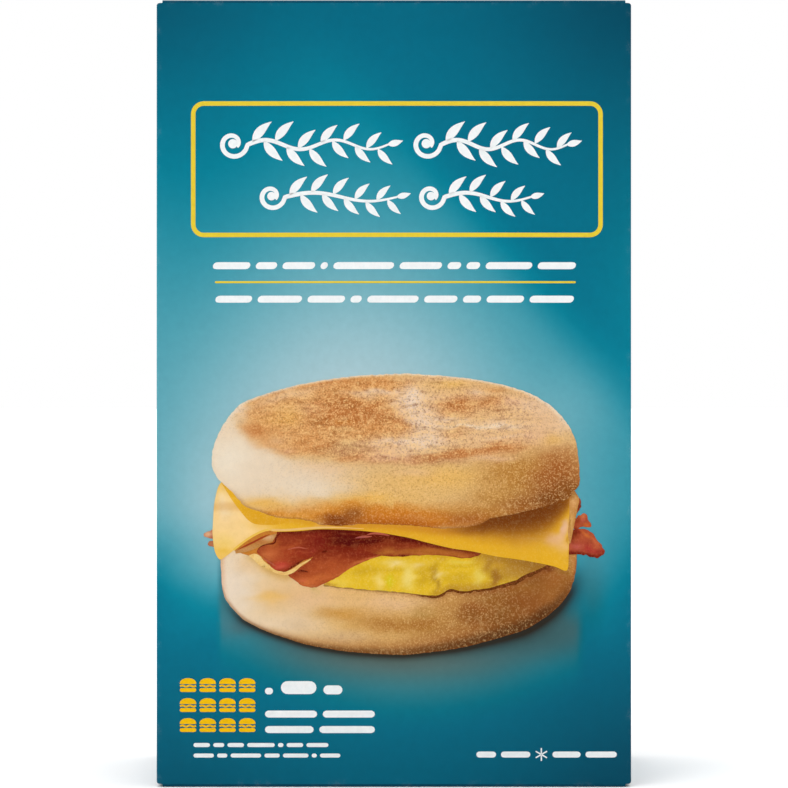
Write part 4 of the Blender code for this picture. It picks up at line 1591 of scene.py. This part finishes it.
def main_panel(panel):
    """Front and back: the picture, a frame with sprigs, rows of bars and a rule, and the count of twelve."""
    spot = Spot(panel, 0.0, 0.0, 1.0)
    picture(spot)
    yellow_frame(spot, -80.3, 82.7, 220.9, 273.5, 4.2, 1.8)
    title(spot, [
        (-70.4, 0.6, 257.4, 18.6),
        (7.0, 72.2, 257.4, 18.6),
        (-54.4, 4.0, 236.4, 17.0),
        (9.4, 57.4, 236.4, 17.0),
    ])
    lines = word_rows([
        (-72.4, 72.8, 208.6, 2.8, [5.3, 3, 4.6, 1, 8.6, 6, 1.9, 1.9, 6.6, 5.4]),
        (-71.4, 72.0, 195.2, 2.8, [5.3, 6.4, 5.4, 1.6, 7.4, 4.8, 2.6, 5.4, 6.4]),
    ], 0.25)
    lay(spot, "description", lines, WHITE_INK)
    lay(spot, "rule", [bar(-71.6, 72.8, 202.0, 0.8)], YELLOW_INK)
    icons = []
    for row in range(3):
        for column in range(4):
            icons += sandwich_icon(-82.4 + 7.9 * column, 40.4 - 8.0 * row, 6.6)
    lay(spot, "count", icons, SUN_INK)
    bars = [bar(-51.6, -48.4, 38.4, 2.6), bar(-45.2, -31.0, 39.8, 5.2), bar(-28.2, -20.6, 38.9, 3.6)]
    bars += word_rows([
        (-51.6, -7.6, 29.2, 2.8, [6, 6]),
        (-51.6, -7.6, 23.0, 2.8, [5.6, 6.4]),
        (-80.2, -26.2, 16.8, 1.6, [3, 2, 3, 5, 1, 3, 4]),
        (-80.2, -21.4, 12.6, 1.6, [4, 2, 6, 3, 5, 1, 4]),
        (33.0, 54.6, 13.0, 2.4, [2.4, 3.6]),
        (63.4, 89.2, 13.0, 2.4, [3.6, 4]),
    ])
    lay(spot, "small_bars", bars + frost_sign(59.0, 13.0, 2.6), WHITE_INK)


def head(spot):
    """The head of a side panel: frame, sprig and a rule."""
    yellow_frame(spot, -43.5, 43.5, 262.0, 296.0, 4.0, 1.6)
    title(spot, [(-37.0, 37.0, 279.0, 18.0)])
    lay(spot, "rule", [bar(-38.0, 38.0, 253.0, 0.8)], YELLOW_INK)


def heating_signs(spot, middles, z):
    """Three framed signs for the steps of heating: a sandwich, a box with level bars, and a dial."""
    left, _, right = middles
    lines = [rounded_frame(x - 11.5, x + 11.5, z - 11.5, z + 11.5, 3.5, 12) for x in middles]
    rings = [stroke(line, 1.0, closed=True) for line in lines]
    rings.append(stroke(rounded_frame(-7.6, 7.6, z - 6, z + 6, 1.6, 10), 0.8, closed=True))
    dial = on_circle(right, z, 7.4, np.linspace(0, 2 * math.pi, 48, endpoint=False))
    rings.append(stroke(dial, 1.0, closed=True))
    lay(spot, "sign_lines", rings, WHITE_INK, wrap=True)
    marks = sandwich_icon(left, z, 13.0)
    for start, end, height in ((-5.2, 2.4, 0.8), (4.4, 5.8, 0.9)):
        marks += [bar(start, end, z + 2.5 - 2.6 * k, height) for k in range(3)]
    for tip in ((right, z + 5.5), (right + 4.0, z - 1.9)):
        marks.append(stroke(np.linspace((right, z), tip, 6), 0.9))
    lay(spot, "sign_marks", marks, WHITE_INK)


def right_panel():
    """The right side: a small picture, three signs for the steps of heating, and rows of bars."""
    spot = Spot("right", 0.0, 0.0, 1.0)
    head(spot)
    picture(Spot("right", 0.0, 148.0, 0.54))
    middles = (-31.0, 0.0, 31.0)
    heating_signs(spot, middles, 135.5)
    bars = word_rows([(-37.0, 37.0, 168.0, 2.4, [4, 6, 3, 6]), (-30.0, 30.0, 161.0, 2.4, [5, 3, 6])])
    for x in middles:
        bars += [bar(x - 10.0, x + 10.0, 119.0, 1.6), bar(x - 7.0, x + 7.0, 115.4, 1.6)]
    bars += paragraph(np.random.default_rng(5), 104.0, 10, (4, 9), 8.0)
    bars += words(-42.0, 42.0, 40.0, 2.6, [3, 5, 4]) + frost_sign(-36.0, 24.0, 6.0)
    bars += word_rows([(-25.0, 42.0, 27.0, 2.2, [4, 6, 5]), (-25.0, 34.0, 21.0, 2.2, [5, 3, 5])])
    lay(spot, "bars", bars, WHITE_INK)


def facts(rng):
    """A table's dark bars and rules: a head, twelve rows of which every third is wider, and a foot."""
    left, right = -33.0, 33.0
    dark = [bar(left, 20.0, 236.5, 5.0)] + words(left, 10.0, 229.5, 2.0, [3, 4, 3])
    dark += [block(left, right, 223.6, 225.6), block(left, right, 137.2, 138.6)]
    for k in range(12):
        z = 219.0 - 6.8 * k
        indent, height = (0.0, 2.6) if k % 3 == 0 else (5.0, 1.8)
        start = left + indent
        dark.append(bar(start, start + rng.uniform(16, 34), z, height))
        dark += [bar(24.0, right, z, 1.8), block(left, right, z - 3.7, z - 3.4)]
    return dark + word_rows([
        (left, right, 132.0, 1.5, [4, 3, 5, 4, 3]),
        (left, right, 127.6, 1.5, [3, 5, 2, 5, 4]),
        (left, 12.0, 123.2, 1.5, [5, 3, 4]),
    ])


def stripes(rng, end):
    """Upright stripes of random widths and gaps from one side of a plate's middle to the other."""
    made = []
    edge = -end
    for width in rng.choice([0.35, 0.6, 0.9, 1.3], 60):
        if edge + width > end:
            break
        made.append(block(edge, edge + width, 20.0, 52.0))
        edge += width + rng.choice([0.4, 0.6, 0.9])
    return made


def left_panel():
    """The left side: a white table of dark bars and rules, rows of white bars, and a plate of stripes."""
    spot = Spot("left", 0.0, 0.0, 1.0)
    head(spot)
    rng = np.random.default_rng(9)
    plates = [plate(-37.0, 37.0, 116.0, 244.0, 2.5), plate(-28.0, 28.0, 16.0, 56.0, 2.0)]
    lay(spot, "plates", plates, WHITE_INK)
    lay(spot, "table", facts(rng) + stripes(rng, 24.0), DARK_INK, 2)
    lay(spot, "bars", paragraph(rng, 108.0, 8, (7,), 12.0), WHITE_INK)


def top_panel():
    """The top outer flap: frame, sprig and bars, and a thumb tab at its free edge, its slits shown as painted
    shade in dark ink.
    """
    spot = Spot("top", 0.0, 0.0, 1.0)
    yellow_frame(spot, -74.0, 74.0, -30.0, 24.0, 4.2, 1.8)
    title(spot, [
        (-64.0, -2.0, 8.6, 17.0),
        (5.0, 65.0, 8.6, 17.0),
        (-50.0, 1.0, -13.6, 15.6),
        (7.0, 50.0, -13.6, 15.6),
    ])
    lay(spot, "bars", words(-60.0, 60.0, -38.0, 2.8, [5, 3, 5, 1, 8, 6, 2, 6], 0.25), WHITE_INK)
    edge, radius = HALF_D - OUTER_FLAP_SHORT, 17.0
    # The tab's slits are painted shade: short thin strokes of dark ink along an arc, drawn on the board where
    # slits would show dark.
    slit_shade_lines = []
    for start in np.linspace(185, 352, 15):
        turn = np.radians(np.linspace(start, start + 5.5, 5))
        slit_shade_lines.append(stroke(on_circle(0.0, edge, radius, turn), 0.5))
    lay(spot, "tab_slit_shade", slit_shade_lines, DARK_INK, 0.5)


# Stage, light and camera

def stage():
    """A wide pale floor."""
    mesh = bpy.data.meshes.new("floor")
    reach = 30.0
    corners = [(-reach, -reach, 0), (reach, -reach, 0), (reach, reach, 0), (-reach, reach, 0)]
    mesh.from_pydata(corners, [], [(0, 1, 2, 3)])
    floor = bpy.data.objects.new("floor", mesh)
    bpy.context.scene.collection.objects.link(floor)
    material = bpy.data.materials.new("pale_floor")
    material.use_nodes = True
    shader = material.node_tree.nodes["Principled BSDF"]
    shader.inputs["Base Color"].default_value = (0.93, 0.93, 0.93, 1.0)
    shader.inputs["Roughness"].default_value = 0.9
    shader.inputs["Specular IOR Level"].default_value = 0.1
    mesh.materials.append(material)


def lights():
    """An even sky that brightens with the fourth power of height, and a wide soft key from the upper left."""
    world = bpy.data.worlds.new("studio")
    bpy.context.scene.world = world
    world.use_nodes = True
    tree = world.node_tree
    shader = tree.nodes["Background"]
    up = add(tree, "SeparateXYZ", {0: add(tree, "TexCoord").outputs["Generated"]}).outputs["Z"]
    high = add(tree, "Math", {0: up, 1: 0.0}, operation="MAXIMUM").outputs[0]
    high = add(tree, "Math", {0: high, 1: 4.0}, operation="POWER").outputs[0]
    sky = ramp(tree, high, 0.0, 1.0, 0.38, 3.2)
    seen = add(tree, "LightPath").outputs["Is Camera Ray"]
    white = add(tree, "Mix", {"Factor": seen, "A": sky, "B": 1.0}, data_type="FLOAT").outputs[0]
    tree.links.new(white, shader.inputs["Strength"])
    shader.inputs["Color"].default_value = (1, 1, 1, 1)
    key = bpy.data.lights.new("key", "SUN")
    key.energy = 0.5
    key.angle = math.radians(30)
    made = bpy.data.objects.new("key", key)
    made.rotation_euler = (math.radians(52), 0, math.radians(-38))
    bpy.context.scene.collection.objects.link(made)


def camera():
    """Straight at the front panel, which fills the height of the square picture as in the photograph."""
    lens, sensor = 135.0, 36.0
    photo, panel_left, panel_right, panel_foot = 788.0, 156.5, 631.3, 787.0
    scale = 2 * HALF_W / (panel_right - panel_left)
    width = photo * scale
    distance = width * lens / sensor
    data = bpy.data.cameras.new("camera")
    data.lens, data.sensor_width = lens, sensor
    made = bpy.data.objects.new("camera", data)
    across = (photo / 2 - (panel_left + panel_right) / 2) * scale
    up = (panel_foot - photo / 2) * scale
    made.location = (across * MM, (-HALF_D - distance) * MM, up * MM)
    made.rotation_euler = (math.pi / 2, 0, 0)
    bpy.context.scene.collection.objects.link(made)
    bpy.context.scene.camera = made
    bpy.context.scene.view_settings.view_transform = "Standard"


walls()
flaps()
main_panel("front")
main_panel("back")
right_panel()
left_panel()
top_panel()
stage()
lights()
camera()
